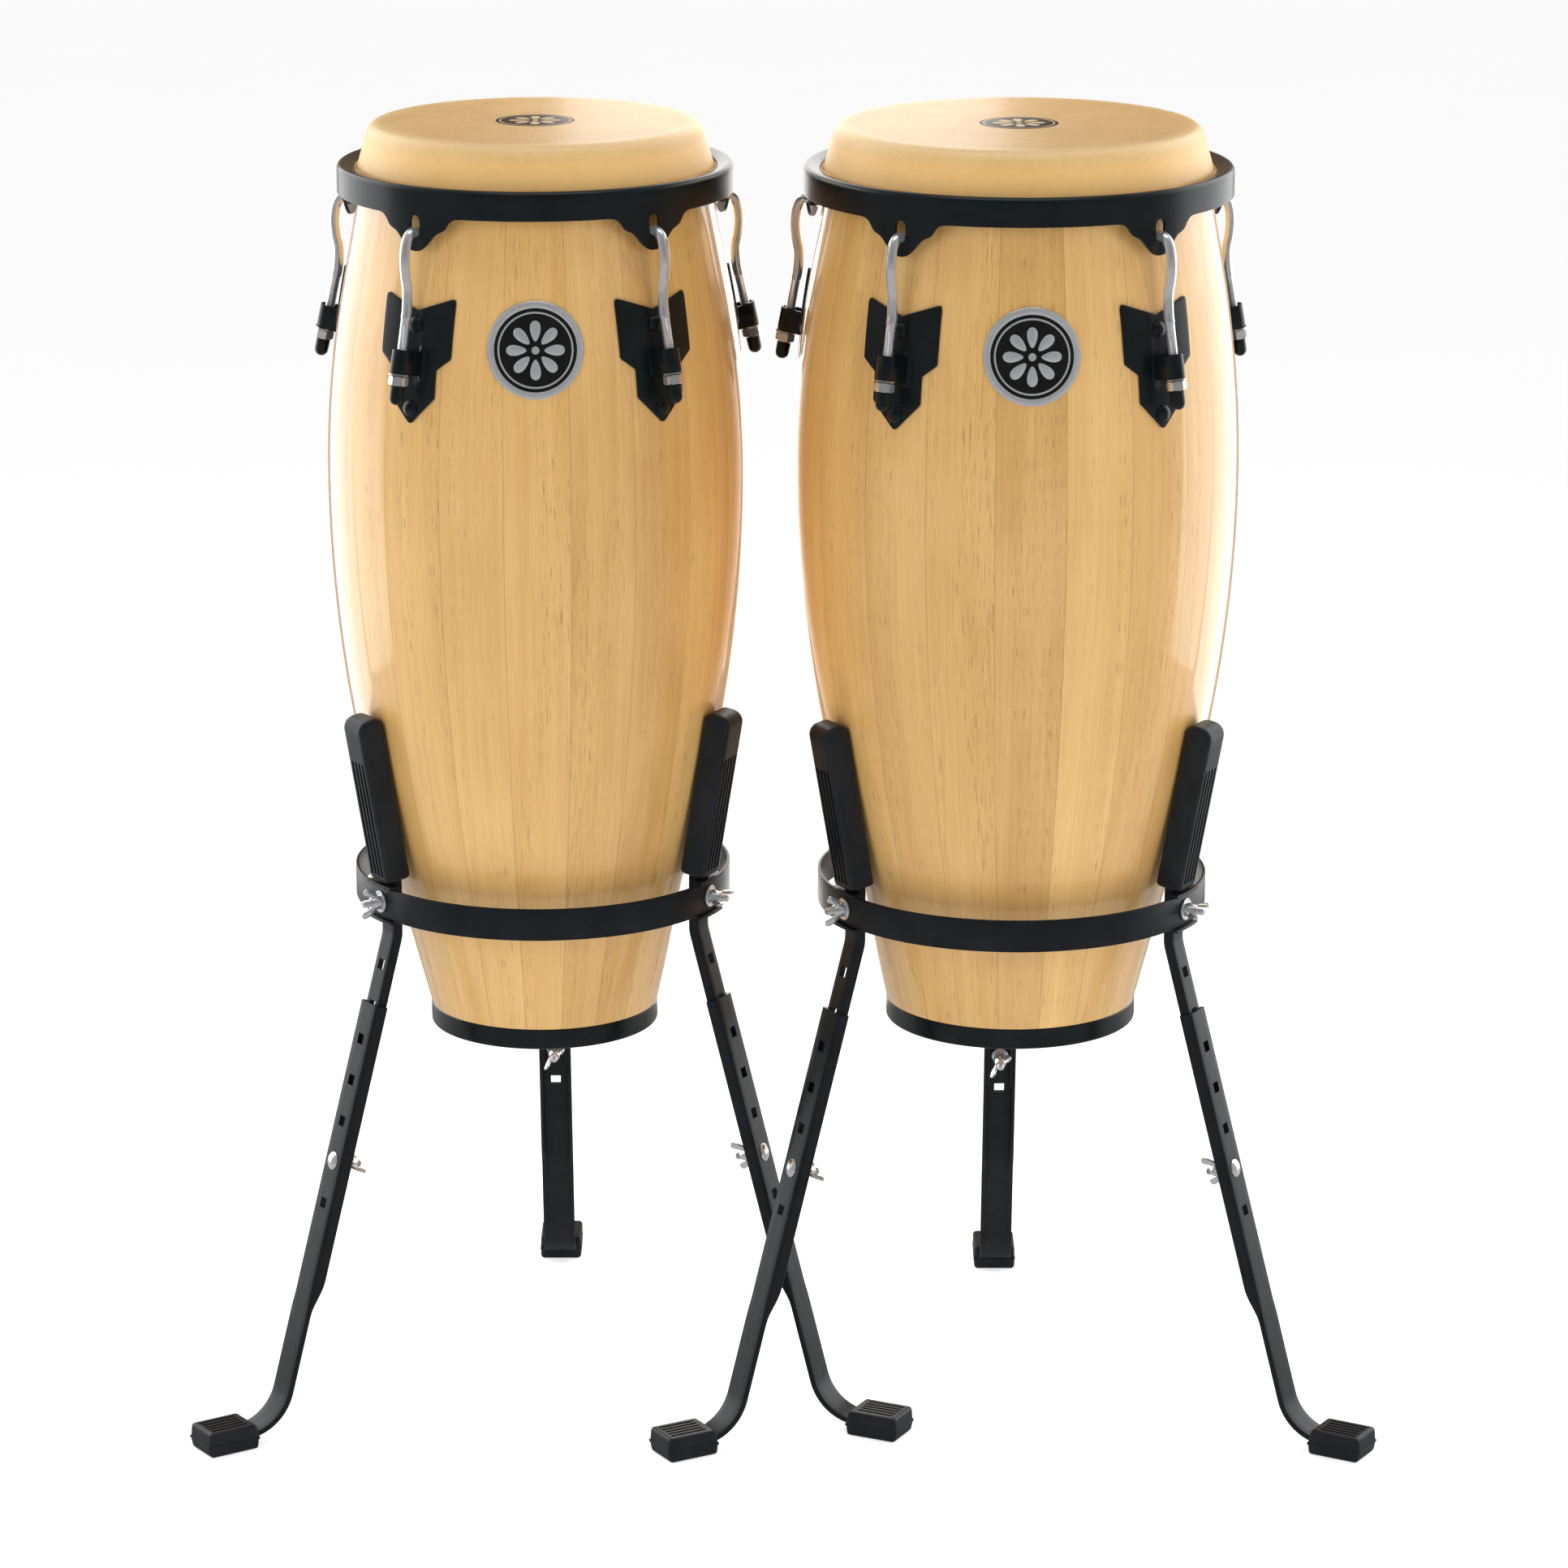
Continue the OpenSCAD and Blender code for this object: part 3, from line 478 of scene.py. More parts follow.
class Piece:
    """Gathers parts of one mesh, each with its own place and material."""

    def __init__(self):
        self.v, self.f, self.m = [], [], []

    def add(self, part, matrix=None, material=0):
        v, f = part
        v = np.asarray(v, float)
        if matrix is not None:
            v = v @ matrix[:3, :3].T + matrix[:3, 3]
        start = sum(len(x) for x in self.v)
        self.v.append(v)
        self.f += [tuple(i + start for i in q) for q in f]
        self.m += [material] * len(f)
        return self

    def repeat(self, part, places):
        for matrix in places:
            self.add(part, matrix)
        return self

    def make(self, drum, name, materials, body, node, slot, sharp=38.0):
        """The finished object. Its name, body and CAD node are given without the drum's name."""
        v = np.vstack(self.v) * MM
        used = sorted({i for q in self.f for i in q})
        names = {old: new for new, old in enumerate(used)}
        mesh = bpy.data.meshes.new(f"{drum.name}_{name}")
        mesh.from_pydata([tuple(v[i]) for i in used], [], [tuple(names[i] for i in q) for q in self.f])
        for material in materials:
            mesh.materials.append(material)
        mesh.polygons.foreach_set("material_index", self.m)
        mesh.validate()
        return enrol(mesh, drum, body, node, sharp)


# ---- materials


class Nodes:
    """A material's node tree, with short calls for what the surfaces share."""

    def __init__(self, name):
        self.material = bpy.data.materials.new(name)
        self.material.use_nodes = True
        self.tree = self.material.node_tree
        self.tree.nodes.clear()
        self.out = self.new("ShaderNodeOutputMaterial")
        self.bsdf = self.new("ShaderNodeBsdfPrincipled")
        self.link(self.bsdf.outputs["BSDF"], self.out.inputs["Surface"])

    def new(self, kind, **settings):
        node = self.tree.nodes.new(kind)
        for k, x in settings.items():
            setattr(node, k, x)
        return node

    def link(self, a, b):
        self.tree.links.new(a, b)

    def feed(self, socket, x):
        """Sets a number or colour on a socket, or links an output to it."""
        if isinstance(x, tuple):
            socket.default_value = (*x, 1.0)
        elif isinstance(x, (int, float)):
            socket.default_value = x
        else:
            self.link(x, socket)

    def set(self, **sockets):
        """Feeds the shader's sockets, named with _ for a space."""
        for k, x in sockets.items():
            self.feed(self.bsdf.inputs[k.replace("_", " ")], x)

    def coords(self, source, scale):
        mapping = self.new("ShaderNodeMapping")
        mapping.inputs["Scale"].default_value = scale if isinstance(scale, tuple) else (scale,) * 3
        self.link(source, mapping.inputs["Vector"])
        return mapping.outputs["Vector"]

    def noise(self, source, scale, detail=2.0, rough=0.5, warp=0.0):
        n = self.new("ShaderNodeTexNoise")
        for socket, x in (("Scale", 1.0), ("Detail", detail), ("Roughness", rough), ("Distortion", warp),
                          ("Vector", self.coords(source, scale))):
            self.feed(n.inputs[socket], x)
        return n.outputs["Fac"]

    def ramp(self, value, *stops):
        r = self.new("ShaderNodeValToRGB")
        e = r.color_ramp.elements
        for element, (position, grey) in zip(e, stops):
            element.position = position
            element.color = (grey, grey, grey, 1.0)
        self.link(value, r.inputs["Fac"])
        return r.outputs["Color"]

    def mix(self, factor, a, b, blend="MIX"):
        n = self.new("ShaderNodeMix", data_type="RGBA", blend_type=blend)
        for socket, x in ((0, factor), (6, a), (7, b)):
            self.feed(n.inputs[socket], x)
        return n.outputs[2]

    def tint(self, base, value, low, high, share, colour):
        """Adds a share of a colour where the value rises from low to high."""
        return self.mix(self.math("MULTIPLY", self.ramp(value, (low, 0.0), (high, 1.0)), share), base, colour)

    def roughness(self, value, low, high):
        n = self.new("ShaderNodeMapRange")
        for socket, x in (("To Min", low), ("To Max", high), ("Value", value)):
            self.feed(n.inputs[socket], x)
        self.set(Roughness=n.outputs["Result"])

    def math(self, op, a, b):
        n = self.new("ShaderNodeMath", operation=op)
        self.feed(n.inputs[0], a)
        self.feed(n.inputs[1], b)
        return n.outputs[0]

    def attribute(self, name):
        return self.new("ShaderNodeAttribute", attribute_name=name).outputs["Fac"]

    def bump(self, height, distance, strength=1.0, socket="Normal"):
        b = self.new("ShaderNodeBump")
        for name, x in (("Strength", strength), ("Distance", distance), ("Height", height)):
            self.feed(b.inputs[name], x)
        self.link(b.outputs["Normal"], self.bsdf.inputs[socket])

    def place(self):
        return self.new("ShaderNodeTexCoord").outputs["Object"]


def wood(name, lacquered):
    """Staves with grain along their length, each with its own tone and piece of the pattern."""
    n = Nodes(name)
    grain = n.new("ShaderNodeCombineXYZ")
    uv = n.new("ShaderNodeSeparateXYZ")
    n.link(n.new("ShaderNodeUVMap", uv_map="UVMap").outputs["UV"], uv.inputs[0])
    for k, x in enumerate((uv.outputs["X"], uv.outputs["Y"], n.attribute("seed"))):
        n.link(x, grain.inputs[k])
    g = grain.outputs[0]
    broad = n.noise(g, (34, 1.5, 37), 3.0, 0.55, 0.4)
    figure = n.noise(g, (150, 2.4, 31), 4.0, 0.6, 0.9)
    streaks = n.noise(g, (900, 14, 19), 3.0, 0.65)
    cloud = n.noise(g, (16, 9, 53), 2.0, 0.5)
    pale, deep = (0.78, 0.490, 0.175), (0.665, 0.385, 0.118)
    base = n.mix(n.ramp(broad, (0.30, 0.0), (0.70, 1.0)), pale, deep)
    base = n.tint(base, figure, 0.38, 0.66, 0.42, (0.600, 0.322, 0.086))
    base = n.tint(base, streaks, 0.40, 0.72, 0.42, (0.545, 0.290, 0.080))
    base = n.tint(base, cloud, 0.45, 0.75, 0.30, (0.88, 0.585, 0.240))
    dark = n.mix(n.attribute("tone"), (1.06, 1.07, 1.09), (0.90, 0.87, 0.83))
    base = n.mix(1.0, base, dark, "MULTIPLY")
    dashes = n.noise(g, (1900, 62, 71), 0.0)
    bands = n.noise(g, (70, 3.0, 11), 2.0)
    in_bands = n.ramp(bands, (0.42, 0.0), (0.60, 1.0))
    pores = n.math("MULTIPLY", n.ramp(dashes, (0.665, 0.0), (0.71, 1.0)), in_bands)
    base = n.mix(n.math("MULTIPLY", pores, 0.46), base, (0.25, 0.115, 0.035))
    line = n.ramp(n.attribute("seam"), (0.02, 1.0), (0.07, 0.0))
    base = n.mix(n.math("MULTIPLY", line, 0.35), base, (0.32, 0.17, 0.06))
    n.set(Base_Color=base)
    if lacquered:
        n.set(Roughness=0.42, Coat_Weight=1.0, Coat_Roughness=0.07, Coat_IOR=1.5)
        relief = n.math("ADD", n.math("MULTIPLY", pores, -1.0), n.math("MULTIPLY", streaks, 0.25))
        n.bump(relief, 0.00006, 0.6)
        n.bump(n.noise(g, (120, 40, 5), 1.0), 0.00004, 0.5, "Coat Normal")
    else:
        n.set(Roughness=0.75)
        n.bump(streaks, 0.0003, 0.8)
    return n.material


def hide(name):
    """Rawhide, with a painted highlight on its rounded edge and painted light, paler and warmer, down the
    collar.
    """
    n = Nodes(name)
    p = n.place()
    cloud = n.noise(p, 26, 4.0, 0.6, 0.6)
    mottle = n.noise(p, 190, 4.0, 0.65)
    speck = n.noise(p, 900, 2.0, 0.6)
    fibres = n.noise(p, (420, 130, 200), 3.0, 0.6, 1.5)
    base = n.mix(n.ramp(cloud, (0.34, 0.0), (0.66, 1.0)), (0.580, 0.340, 0.118), (0.680, 0.418, 0.158))
    base = n.tint(base, mottle, 0.36, 0.64, 0.45, (0.760, 0.500, 0.212))
    base = n.tint(base, speck, 0.50, 0.68, 0.40, (0.53, 0.285, 0.080))
    base = n.tint(base, fibres, 0.55, 0.75, 0.20, (0.90, 0.66, 0.34))
    # Painted highlight: paler where the head rounds over its edge
    base = n.mix(n.math("MULTIPLY", n.attribute("crest"), 0.70), base, (0.95, 0.70, 0.36))
    # Painted light: the collar, which faces the lamps more than the top, made paler and warmer
    base = n.mix(n.math("MULTIPLY", n.attribute("collar"), 0.62), base, (1.0, 0.625, 0.225))
    n.set(Base_Color=base, Roughness=0.46, Coat_Weight=0.12, Coat_Roughness=0.35)
    n.set(Subsurface_Weight=0.12, Subsurface_Scale=1.0)
    n.bsdf.inputs["Subsurface Radius"].default_value = (0.004, 0.002, 0.001)
    n.bump(n.math("ADD", mottle, n.math("MULTIPLY", speck, 0.6)), 0.00018, 0.55)
    return n.material


def coated(name, colour, rough, peel=1100.0, depth=0.00003, spread=0.10, coat=0.0, shine=0.25):
    """Paint, powder coat, rubber or plastic: fine surface texture and uneven gloss."""
    n = Nodes(name)
    p = n.place()
    fine = n.noise(p, peel)
    wide = n.noise(p, 38, 3.0, 0.6)
    lighter = tuple(min(1.0, c * 1.55 + 0.002) for c in colour)
    n.set(Base_Color=n.mix(n.ramp(wide, (0.30, 0.0), (0.72, 1.0)), colour, lighter))
    n.roughness(n.noise(p, 90, 3.0, 0.6), rough - spread / 2, rough + spread / 2)
    n.set(Coat_Weight=coat, Coat_Roughness=0.12, Specular_IOR_Level=shine)
    n.bump(fine, depth, 0.8)
    return n.material


def metal(name, colour, rough, depth=0.00001, metallic=1.0):
    """Plated metal. Below 1 it also scatters some light, as fine scratches do."""
    n = Nodes(name)
    p = n.place()
    darker = tuple(c * 0.86 for c in colour)
    n.set(Base_Color=n.mix(n.noise(p, 60, 3.0, 0.6), colour, darker))
    n.roughness(n.noise(p, 240, 3.0, 0.6), rough * 0.7, rough * 1.4)
    n.set(Metallic=metallic)
    n.bump(n.noise(p, 700), depth, 0.4)
    return n.material


LACQUERED = wood("lacquered_staves", True)
RAW_WOOD = wood("raw_staves", False)
HIDE = hide("buffalo_hide")
POWDER = coated("satin_powder_coat", (0.0018, 0.0042, 0.0054), 0.28, 1500.0, 0.000006, 0.03, shine=0.34)
STAND_COAT = coated("stand_powder_coat", (0.0042, 0.0060, 0.0084), 0.38, 1300.0, 0.00002, shine=0.26)
RUBBER = coated("moulded_rubber", (0.0068, 0.0088, 0.0120), 0.42, 800.0, 0.00003, 0.12, shine=0.28)
PLASTIC = coated("moulded_plastic", (0.0034, 0.0052, 0.0058), 0.28, 900.0, 0.00002, shine=0.30)
CHROME = metal("polished_chrome", (0.84, 0.84, 0.86), 0.11, metallic=0.82)
ZINC = metal("zinc_plate", (0.60, 0.58, 0.54), 0.30)
SILVER = metal("satin_silver", (0.60, 0.61, 0.62), 0.28, 0.000001, metallic=0.58)
ENAMEL = coated("black_enamel", (0.0035, 0.0036, 0.0040), 0.10, 300.0, 0.000004, 0.04, 0.6)
INK = coated("print_ink", (0.0100, 0.0096, 0.0090), 0.45, 900.0, 0.00004)
PRINT_PALE = coated("print_pale", (0.50, 0.36, 0.19), 0.50, 900.0, 0.00004)


# ---- shell and head


def build_shell(d):
    """The glued staves, lacquered outside and raw inside, with the attributes the wood needs."""
    per = 8  # columns of faces in a stave
    columns = STAVES * per
    z_top = d.top - SKIN_T - 0.2
    edge_round = 8
    outer = [(d.r(0) - 0.3, 3.0), (d.r(0) - 0.3, 10.0)]
    outer += [(d.r(z), z) for z in np.linspace(12, z_top - edge_round, 78)]
    outer += arc((d.r(z_top - edge_round) - edge_round, z_top - edge_round), edge_round, 0, 90, 7)[1:]
    n_outer = len(outer)
    inner = [(d.r(z) - STAVE_T, z) for z in np.linspace(z_top - 6, 3, 26)]
    inner.insert(0, (d.r(z_top) - STAVE_T + 2, z_top))
    profile = np.array(outer + inner)
    n = len(profile)
    turn0 = DRUM_TURN - 180.0 / STAVES
    v = around(np.radians(turn0 + np.arange(columns) * 360.0 / columns), profile)
    f = quads(columns, n, True, True, True)
    rng = random.Random(d.seed)
    tones = [min(1.0, max(0.0, rng.gauss(0.42, 0.30))) for _ in range(STAVES)]
    seeds = [rng.uniform(0, 40) for _ in range(STAVES)]
    shift = [rng.uniform(-0.02, 0.02) for _ in range(STAVES)]
    uv, tone, seed, seam, material = [], [], [], [], []
    for c in range(columns):
        stave, part = divmod(c, per)
        for i in range(n):
            j = (i + 1) % n
            material.append(0 if i < n_outer - 1 else 1)
            for k, step in ((i, part), (i, part + 1), (j, part + 1), (j, part)):
                width = 2 * math.pi * profile[k][0] / STAVES
                u = (step / per - 0.5) * width
                uv += [u * MM + shift[stave], (profile[k][1] if j else 0) * MM]
                tone.append(tones[stave])
                seed.append(seeds[stave])
                seam.append((width / 2 - abs(u)) / 10)
    mesh = bpy.data.meshes.new(d.name + "_staves")
    world = (v + np.array([d.x, d.y, d.base])) * MM
    mesh.from_pydata([tuple(q) for q in world], [], f)
    for material_ in (LACQUERED, RAW_WOOD):
        mesh.materials.append(material_)
    mesh.polygons.foreach_set("material_index", material)
    mesh.uv_layers.new(name="UVMap").data.foreach_set("uv", np.asarray(uv, np.float32))
    add_data(mesh, "CORNER", tone=tone, seed=seed, seam=seam)
    enrol(mesh, d, "drum", "shell", 38)


def build_head(d):
    """The skin, and its folded edge on the flesh hoop."""
    head_round = 10.0
    flare = 0.29  # how far the collar spreads for each unit down
    lean = math.degrees(math.atan(flare))
    c = (d.r(d.top - head_round) + SKIN_T + 0.2 - head_round, d.top - head_round)
    outer = [(0.02, d.top)] + [(c[0] * t, d.top) for t in (0.1, 0.25, 0.4, 0.55, 0.7, 0.82, 0.92, 0.97)]
    outer += arc(c, head_round, 90, lean, 12)
    r, z0 = outer[-1]
    outer += [(r + flare * (z0 - z), z) for z in np.linspace(d.top - 12, d.top - 33.5, 9)]
    hoop = (d.rim - 11.8, d.top - 38.8)
    outer += [(hoop[0] - 4.0, d.top - 36.5), (hoop[0] - 4.1, d.top - 39.5)]
    inner = [(r - SKIN_T * 0.94, z - SKIN_T * 0.25) for r, z in outer[::-1][:12]]
    inner += arc(c, head_round - SKIN_T, lean, 90, 8)
    inner += [(c[0] * t, d.top - SKIN_T) for t in (0.9, 0.6, 0.3)] + [(0.02, d.top - SKIN_T)]
    profile = outer + inner
    columns = 180
    skin = Piece().add(lathe(profile, columns, True), at_drum(d))
    o = skin.make(d, "skin", [HIDE], None, "head_skin", "rawhide", 60)
    # Painted highlight on the rounded edge, full at this point and gone 13 mm from it
    highlight_centre = (c[0] + 6.0, d.top - 2.5)
    crest = [max(0.0, 1.0 - math.dist(q, highlight_centre) / 13.0) ** 1.3 for q in profile]
    # Painted light down the collar, from none 5 mm below the top to full 14 mm below it
    sides = [min(1.0, max(0.0, (d.top - 5.0 - z) / 9.0)) for _, z in profile]
    add_data(o.data, "POINT", crest=crest * columns, collar=sides * columns)
    held, drawn = ((d.x * MM, d.y * MM, (d.base + d.top - z) * MM) for z in (14, 36))
    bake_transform(o)
    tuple(held)
    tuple(drawn)
    # The skin's trimmed edge, folded round the flesh hoop and standing up inside the rim
    rng = random.Random(d.seed + 1)
    count = 240
    phases = [(rng.uniform(0, 6.3), k, rng.uniform(0.15, 0.5) / (1 + k / 14)) for k in (5, 9, 14, 23, 37, 52)]
    points = []
    section = [(-3.6, -2.0), (-3.9, 0.5), (-3.7, 2.4), (-3.2, 4.6), (-2.6, 5.4), (-1.9, 4.9), (-1.3, 3.9),
               (0.4, 3.75), (2.2, 3.0), (3.6, 1.2), (3.8, -0.8), (2.6, -2.9), (0.2, -3.9), (-2.2, -3.3)]
    for k in range(count):
        a = 2 * math.pi * k / count
        lift = sum(h * math.sin(m * a + p) for p, m, h in phases)
        for q, (x, z) in enumerate(section):
            up = lift * (1.0 if q in (3, 4, 5) else 0.35 if q in (2, 6) else 0.0)
            r = hoop[0] + x
            points.append((r * math.sin(a), -r * math.cos(a), hoop[1] + z + up))
    m = len(section)
    tuck = Piece().add((points, quads(count, m, True)), at_drum(d)).make(
        d, "tucked_edge", [HIDE], "rim_set", "flesh_hoop", "rawhide", 70)
    # The same painted highlight tint: full on the fold's upper ridge, a little over half on the rest
    add_data(tuck.data, "POINT", crest=[1.0 if q in (3, 4, 5) else 0.55 for q in range(m)] * count)


def rosette(r_out, petals=8):
    """A plain flower of rings and petals: loops of (x, y) points."""
    loops = []
    for k in range(petals):
        a = 2 * math.pi * k / petals
        axis, across = np.array([math.sin(a), math.cos(a)]), np.array([math.cos(a), -math.sin(a)])
        r0, r1, half = 0.20 * r_out, 0.66 * r_out, 0.115 * r_out
        t = np.linspace(0, 2 * math.pi, 25)[:-1]
        loops.append([axis * ((r0 + r1) / 2 + (r1 - r0) / 2 * math.cos(x)) + across * half * math.sin(x)
                      * (1 + 0.35 * math.cos(x)) for x in t][::-1])
    return loops


def anticlockwise(p, f):
    """The faces, turned over where the loop runs clockwise."""
    area = sum(p[i - 1][0] * p[i][1] - p[i][0] * p[i - 1][1] for i in range(len(p)))
    return f if area > 0 else [q[::-1] for q in f]


def fan(p, z):
    """A flat polygon drawn as a fan from its middle."""
    v = [(*np.mean(p, axis=0), z)] + [(*q, z) for q in p]
    return v, anticlockwise(p, [(0, i + 1, (i + 1) % len(p) + 1) for i in range(len(p))])


def build_print(d):
    """The round print in the middle of the skin."""
    piece = Piece()
    m = at_drum(d, DRUM_TURN) @ move(0, 0, d.top)
    piece.add(lathe([(0.02, 0.10), (29.6, 0.10), (30.0, 0.02), (30.0, -0.1), (0.02, -0.1)], 96, True), m, 0)
    piece.add(lathe([(26.2, 0.10), (26.2, 0.15), (27.4, 0.15), (27.4, 0.10)], 96), m, 1)
    piece.add(lathe([(0.02, 0.15), (2.6, 0.15), (2.6, 0.10), (0.02, 0.10)], 48, True), m, 1)
    for loop in rosette(30.0):
        piece.add(fan(loop, 0.15), m, 1)
    piece.make(d, "head_print", [INK, PRINT_PALE], "drum", None, "rawhide")


def wrap(d, flat, z0, gap):
    """Bends flat (x, up, proud) points round the shell, with their origin at height z0."""
    return np.array([(x, -math.sqrt(max((d.r(z0 + y) + gap + h) ** 2 - x * x, 1.0)), z0 + y)
                     for x, y, h in flat])


def build_badge(d):
    z0 = d.top - 148
    piece = Piece()
    profile = [(30.8, 0.95), (31.4, 1.1), (31.9, 1.45), (32.6, 1.6), (34.4, 1.6), (35.4, 1.3), (36.0, 0.8),
               (36.0, 0.1), (0.02, 0.1)]
    rings = [(0.02, 0.95), (6, 0.95), (12, 0.95), (18, 0.95), (24, 0.95), (30.8, 0.95)]
    piece.add(lathe(rings, 120, True), None, 1)
    piece.add(lathe(profile, 120, True))
    piece.add(lathe([(26.8, 0.95), (26.9, 1.12), (28.1, 1.12), (28.2, 0.95)], 120))
    piece.add(lathe([(0.02, 1.12), (2.7, 1.12), (2.9, 0.95)], 48, True))
    for p in rosette(33.0):
        c = np.mean(p, axis=0)
        n = len(p)
        v = [(*q, 0.94) for q in p] + [(*(c + (q - c) * 0.93), 1.12) for q in p] + [(*c, 1.16)]
        f = quads(2, n) + [(n + i, n + (i + 1) % n, 2 * n) for i in range(n)]
        piece.add((v, anticlockwise(p, f)))
    wrapped = Piece()
    wrapped.add((wrap(d, np.vstack(piece.v), z0, 0.05), piece.f), at_drum(d, DRUM_TURN))
    wrapped.m = piece.m
    wrapped.make(d, "round_badge", [SILVER, ENAMEL], "drum", "badge", "badge_face")


def build_base_ring(d):
    z1 = 16.5
    r = d.r(z1) + 0.3
    inner = d.r(0) - 0.3
    profile = [(inner - 7, 0.4), (inner - 6.6, 0)] + arc((r - 2.2, 2.2), 2.2, -90, 0, 4)
    profile += [(r + 0.1, 8), (r, z1 - 1.6)] + arc((r - 0.9, z1 - 0.9), 0.9, 0, 90, 3)
    profile += [(inner + 0.4, z1 - 0.2), (inner + 0.05, z1 - 1), (inner + 0.05, 2.95), (inner - 7, 2.95)]
    Piece().add(lathe(profile, 180), at_drum(d)).make(
        d, "foot_ring", [PLASTIC], "drum", "base_ring", "black_plastic")


# ---- rim and tuning hardware

EAR = [(0, -26.2), (3.2, -25.9), (6.2, -24.6), (9.6, -21.8), (12.6, -18.6), (15.4, -15.2), (18.6, -12.3),
       (22.0, -10.8), (25.2, -8.9), (27.4, -5.6), (30.5, -2.0), (34.5, -0.3), (40, 0)]
SLOT_W, SLOT_TOP, SLOT_BOTTOM = 8.9, 51.5, 68.6


def build_rim(d):
    """A bent sheet: a flange over the hoop and a wall with five slotted ears, thickened at the end."""
    r, zt = d.rim, d.top - 30.5
    low = d.top - 52.3
    t = 2.5
    mid = r - t / 2
    curve = smooth(EAR, 6)
    ear_low = lambda x: low + (float(np.interp(abs(x), curve[:, 0], curve[:, 1])) if abs(x) < 40 else 0.0)
    half = SLOT_W / 2
    hi_c, lo_c = d.top - SLOT_TOP - half, d.top - SLOT_BOTTOM + half
    slot_x = [0.0, 1.5, 2.9, 3.9, half]
    ear_x = [5.4, 6.8, 8.4, 10.2, 12, 13.8, 15.6, 17.4, 19.2, 21, 22.8, 24.4, 25.8, 27.2, 28.6, 30.2, 32,
             34.2, 37, 40]
    xs = [-x for x in ear_x[::-1]] + [-x for x in slot_x[:0:-1]] + slot_x + ear_x
    ear_angles = [math.degrees(math.asin(x / mid)) for x in xs]
    gap = 72 - 2 * ear_angles[-1]
    between = [ear_angles[-1] + gap * i / 18 for i in range(1, 18)]
    columns = []
    for b in map(lug_bearing, range(1, LUGS + 1)):
        columns += [(b + a, x) for a, x in zip(ear_angles, xs)] + [(b + a, None) for a in between]
    top_rows = [(r - 12.3, zt - 2 - t / 2 - 0.5), (r - 12.0, zt - 2 - t / 2), (r - 9.5, zt - 1.45 - t / 2),
                (r - 6.5, zt - 0.55 - t / 2), (r - 4.0, zt - t / 2)]
    top_rows += arc((r - 4.0, zt - 4.0), 4 - t / 2, 90, 0, 6)[1:]
    wall = zt - 4.0
    f1, f2 = ((wall - c) / (wall - ear_low(half)) for c in (hi_c, lo_c))
    zones = (4, 5, 4)
    v = []
    rows = len(top_rows) + sum(zones)
    slot_rows = range(len(top_rows) + zones[0] - 1, len(top_rows) + zones[0] + zones[1] - 1)
    for angle, x in columns:
        z_low = ear_low(x) if x is not None else low
        if x is not None and abs(x) <= half:
            dz = math.sqrt(max(half * half - x * x, 0))
            z1, z2 = hi_c + dz, lo_c - dz
        else:
            z1, z2 = wall - f1 * (wall - z_low), wall - f2 * (wall - z_low)
        zs = []
        for a, b, steps in zip((wall, z1, z2), (z1, z2, z_low), zones):
            zs += [a + (b - a) * i / steps for i in range(1, steps + 1)]
        a = math.radians(angle)
        for pr, pz in top_rows + [(mid, z) for z in zs]:
            v.append((pr * math.sin(a), -pr * math.cos(a), pz))
    in_slot = [x is not None and abs(x) <= half for _, x in columns]
    f = [q[::-1] for q in quads(len(columns), rows, True, False)
         if not (in_slot[q[0] // rows] and in_slot[q[3] // rows] and q[0] % rows in slot_rows)]
    o = Piece().add((v, f), at_drum(d)).make(
        d, "tension_rim", [POWDER], "rim_set", "rim", "black_powder_coat", 50)
    s = o.modifiers.new("sheet", "SOLIDIFY")
    s.thickness = t * MM
    s.offset = 0.0
    s.use_even_offset = True
    b = o.modifiers.new("edges", "BEVEL")
    b.width = 0.85 * MM
    b.segments = 3
    b.limit_method = "ANGLE"
    b.angle_limit = math.radians(55)
    b.harden_normals = False
    shaped = o.evaluated_get(bpy.context.evaluated_depsgraph_get())
    mesh = bpy.data.meshes.new_from_object(shaped)
    o.modifiers.clear()
    o.data = mesh


def hook_path(d):
    r, z = d.rim, d.top
    points = [(r - 6.5, z - 70.5), (r - 5.6, z - 67.2), (r - 2.6, z - 64.6), (r + 2.6, z - 64.0),
              (r + 7.6, z - 66.6), (r + 11.0, z - 73), (r + 12.6, z - 84), (r + 11.7, z - 96),
              (r + 9.8, z - 106), d.along_rod(54), d.along_rod(46)]
    return smooth(points, 8)


def build_hooks(d):
    path = side(hook_path(d))
    radii = np.full(len(path), 4.0)
    radii[:4] = (2.4, 3.3, 3.8, 4.0)
    radii[-2:] = (3.95, 3.7)
    hook = tube(path, radii, 24)
    rod = threaded(-11.5, 46.6, 7.9, 1.25, 18, 0.62)
    piece = Piece()
    for m in at_lugs(d):
        piece.add(hook, m).add(rod, m @ on_rod(d, 0))
    piece.make(d, "tension_hooks", [CHROME], "rim_set", "hooks", "chrome", 60)


def hex_nut(flats, h, bore, count=48):
    """A hexagon nut about Z with chamfered corners and a chamfered bore."""
    v = []
    inner = flats / 2
    for k in range(count):
        a = 2 * math.pi * k / count
        wedge = (a + math.pi / 6) % (math.pi / 3) - math.pi / 6
        hexa = inner / math.cos(wedge)
        drop = (hexa - inner * 0.965) * 0.55
        upper = [(hexa, h / 2 - 0.15 - drop), (inner * 0.965, h / 2 - 0.04), (inner * 0.93, h / 2),
                 (bore / 2 + 0.6, h / 2), (bore / 2, h / 2 - 0.6)]
        ring = [(r, -z) for r, z in upper[::-1]] + upper
        v += [(r * math.cos(a), r * math.sin(a), z) for r, z in ring]
    return v, quads(count, len(ring), True, True, True)


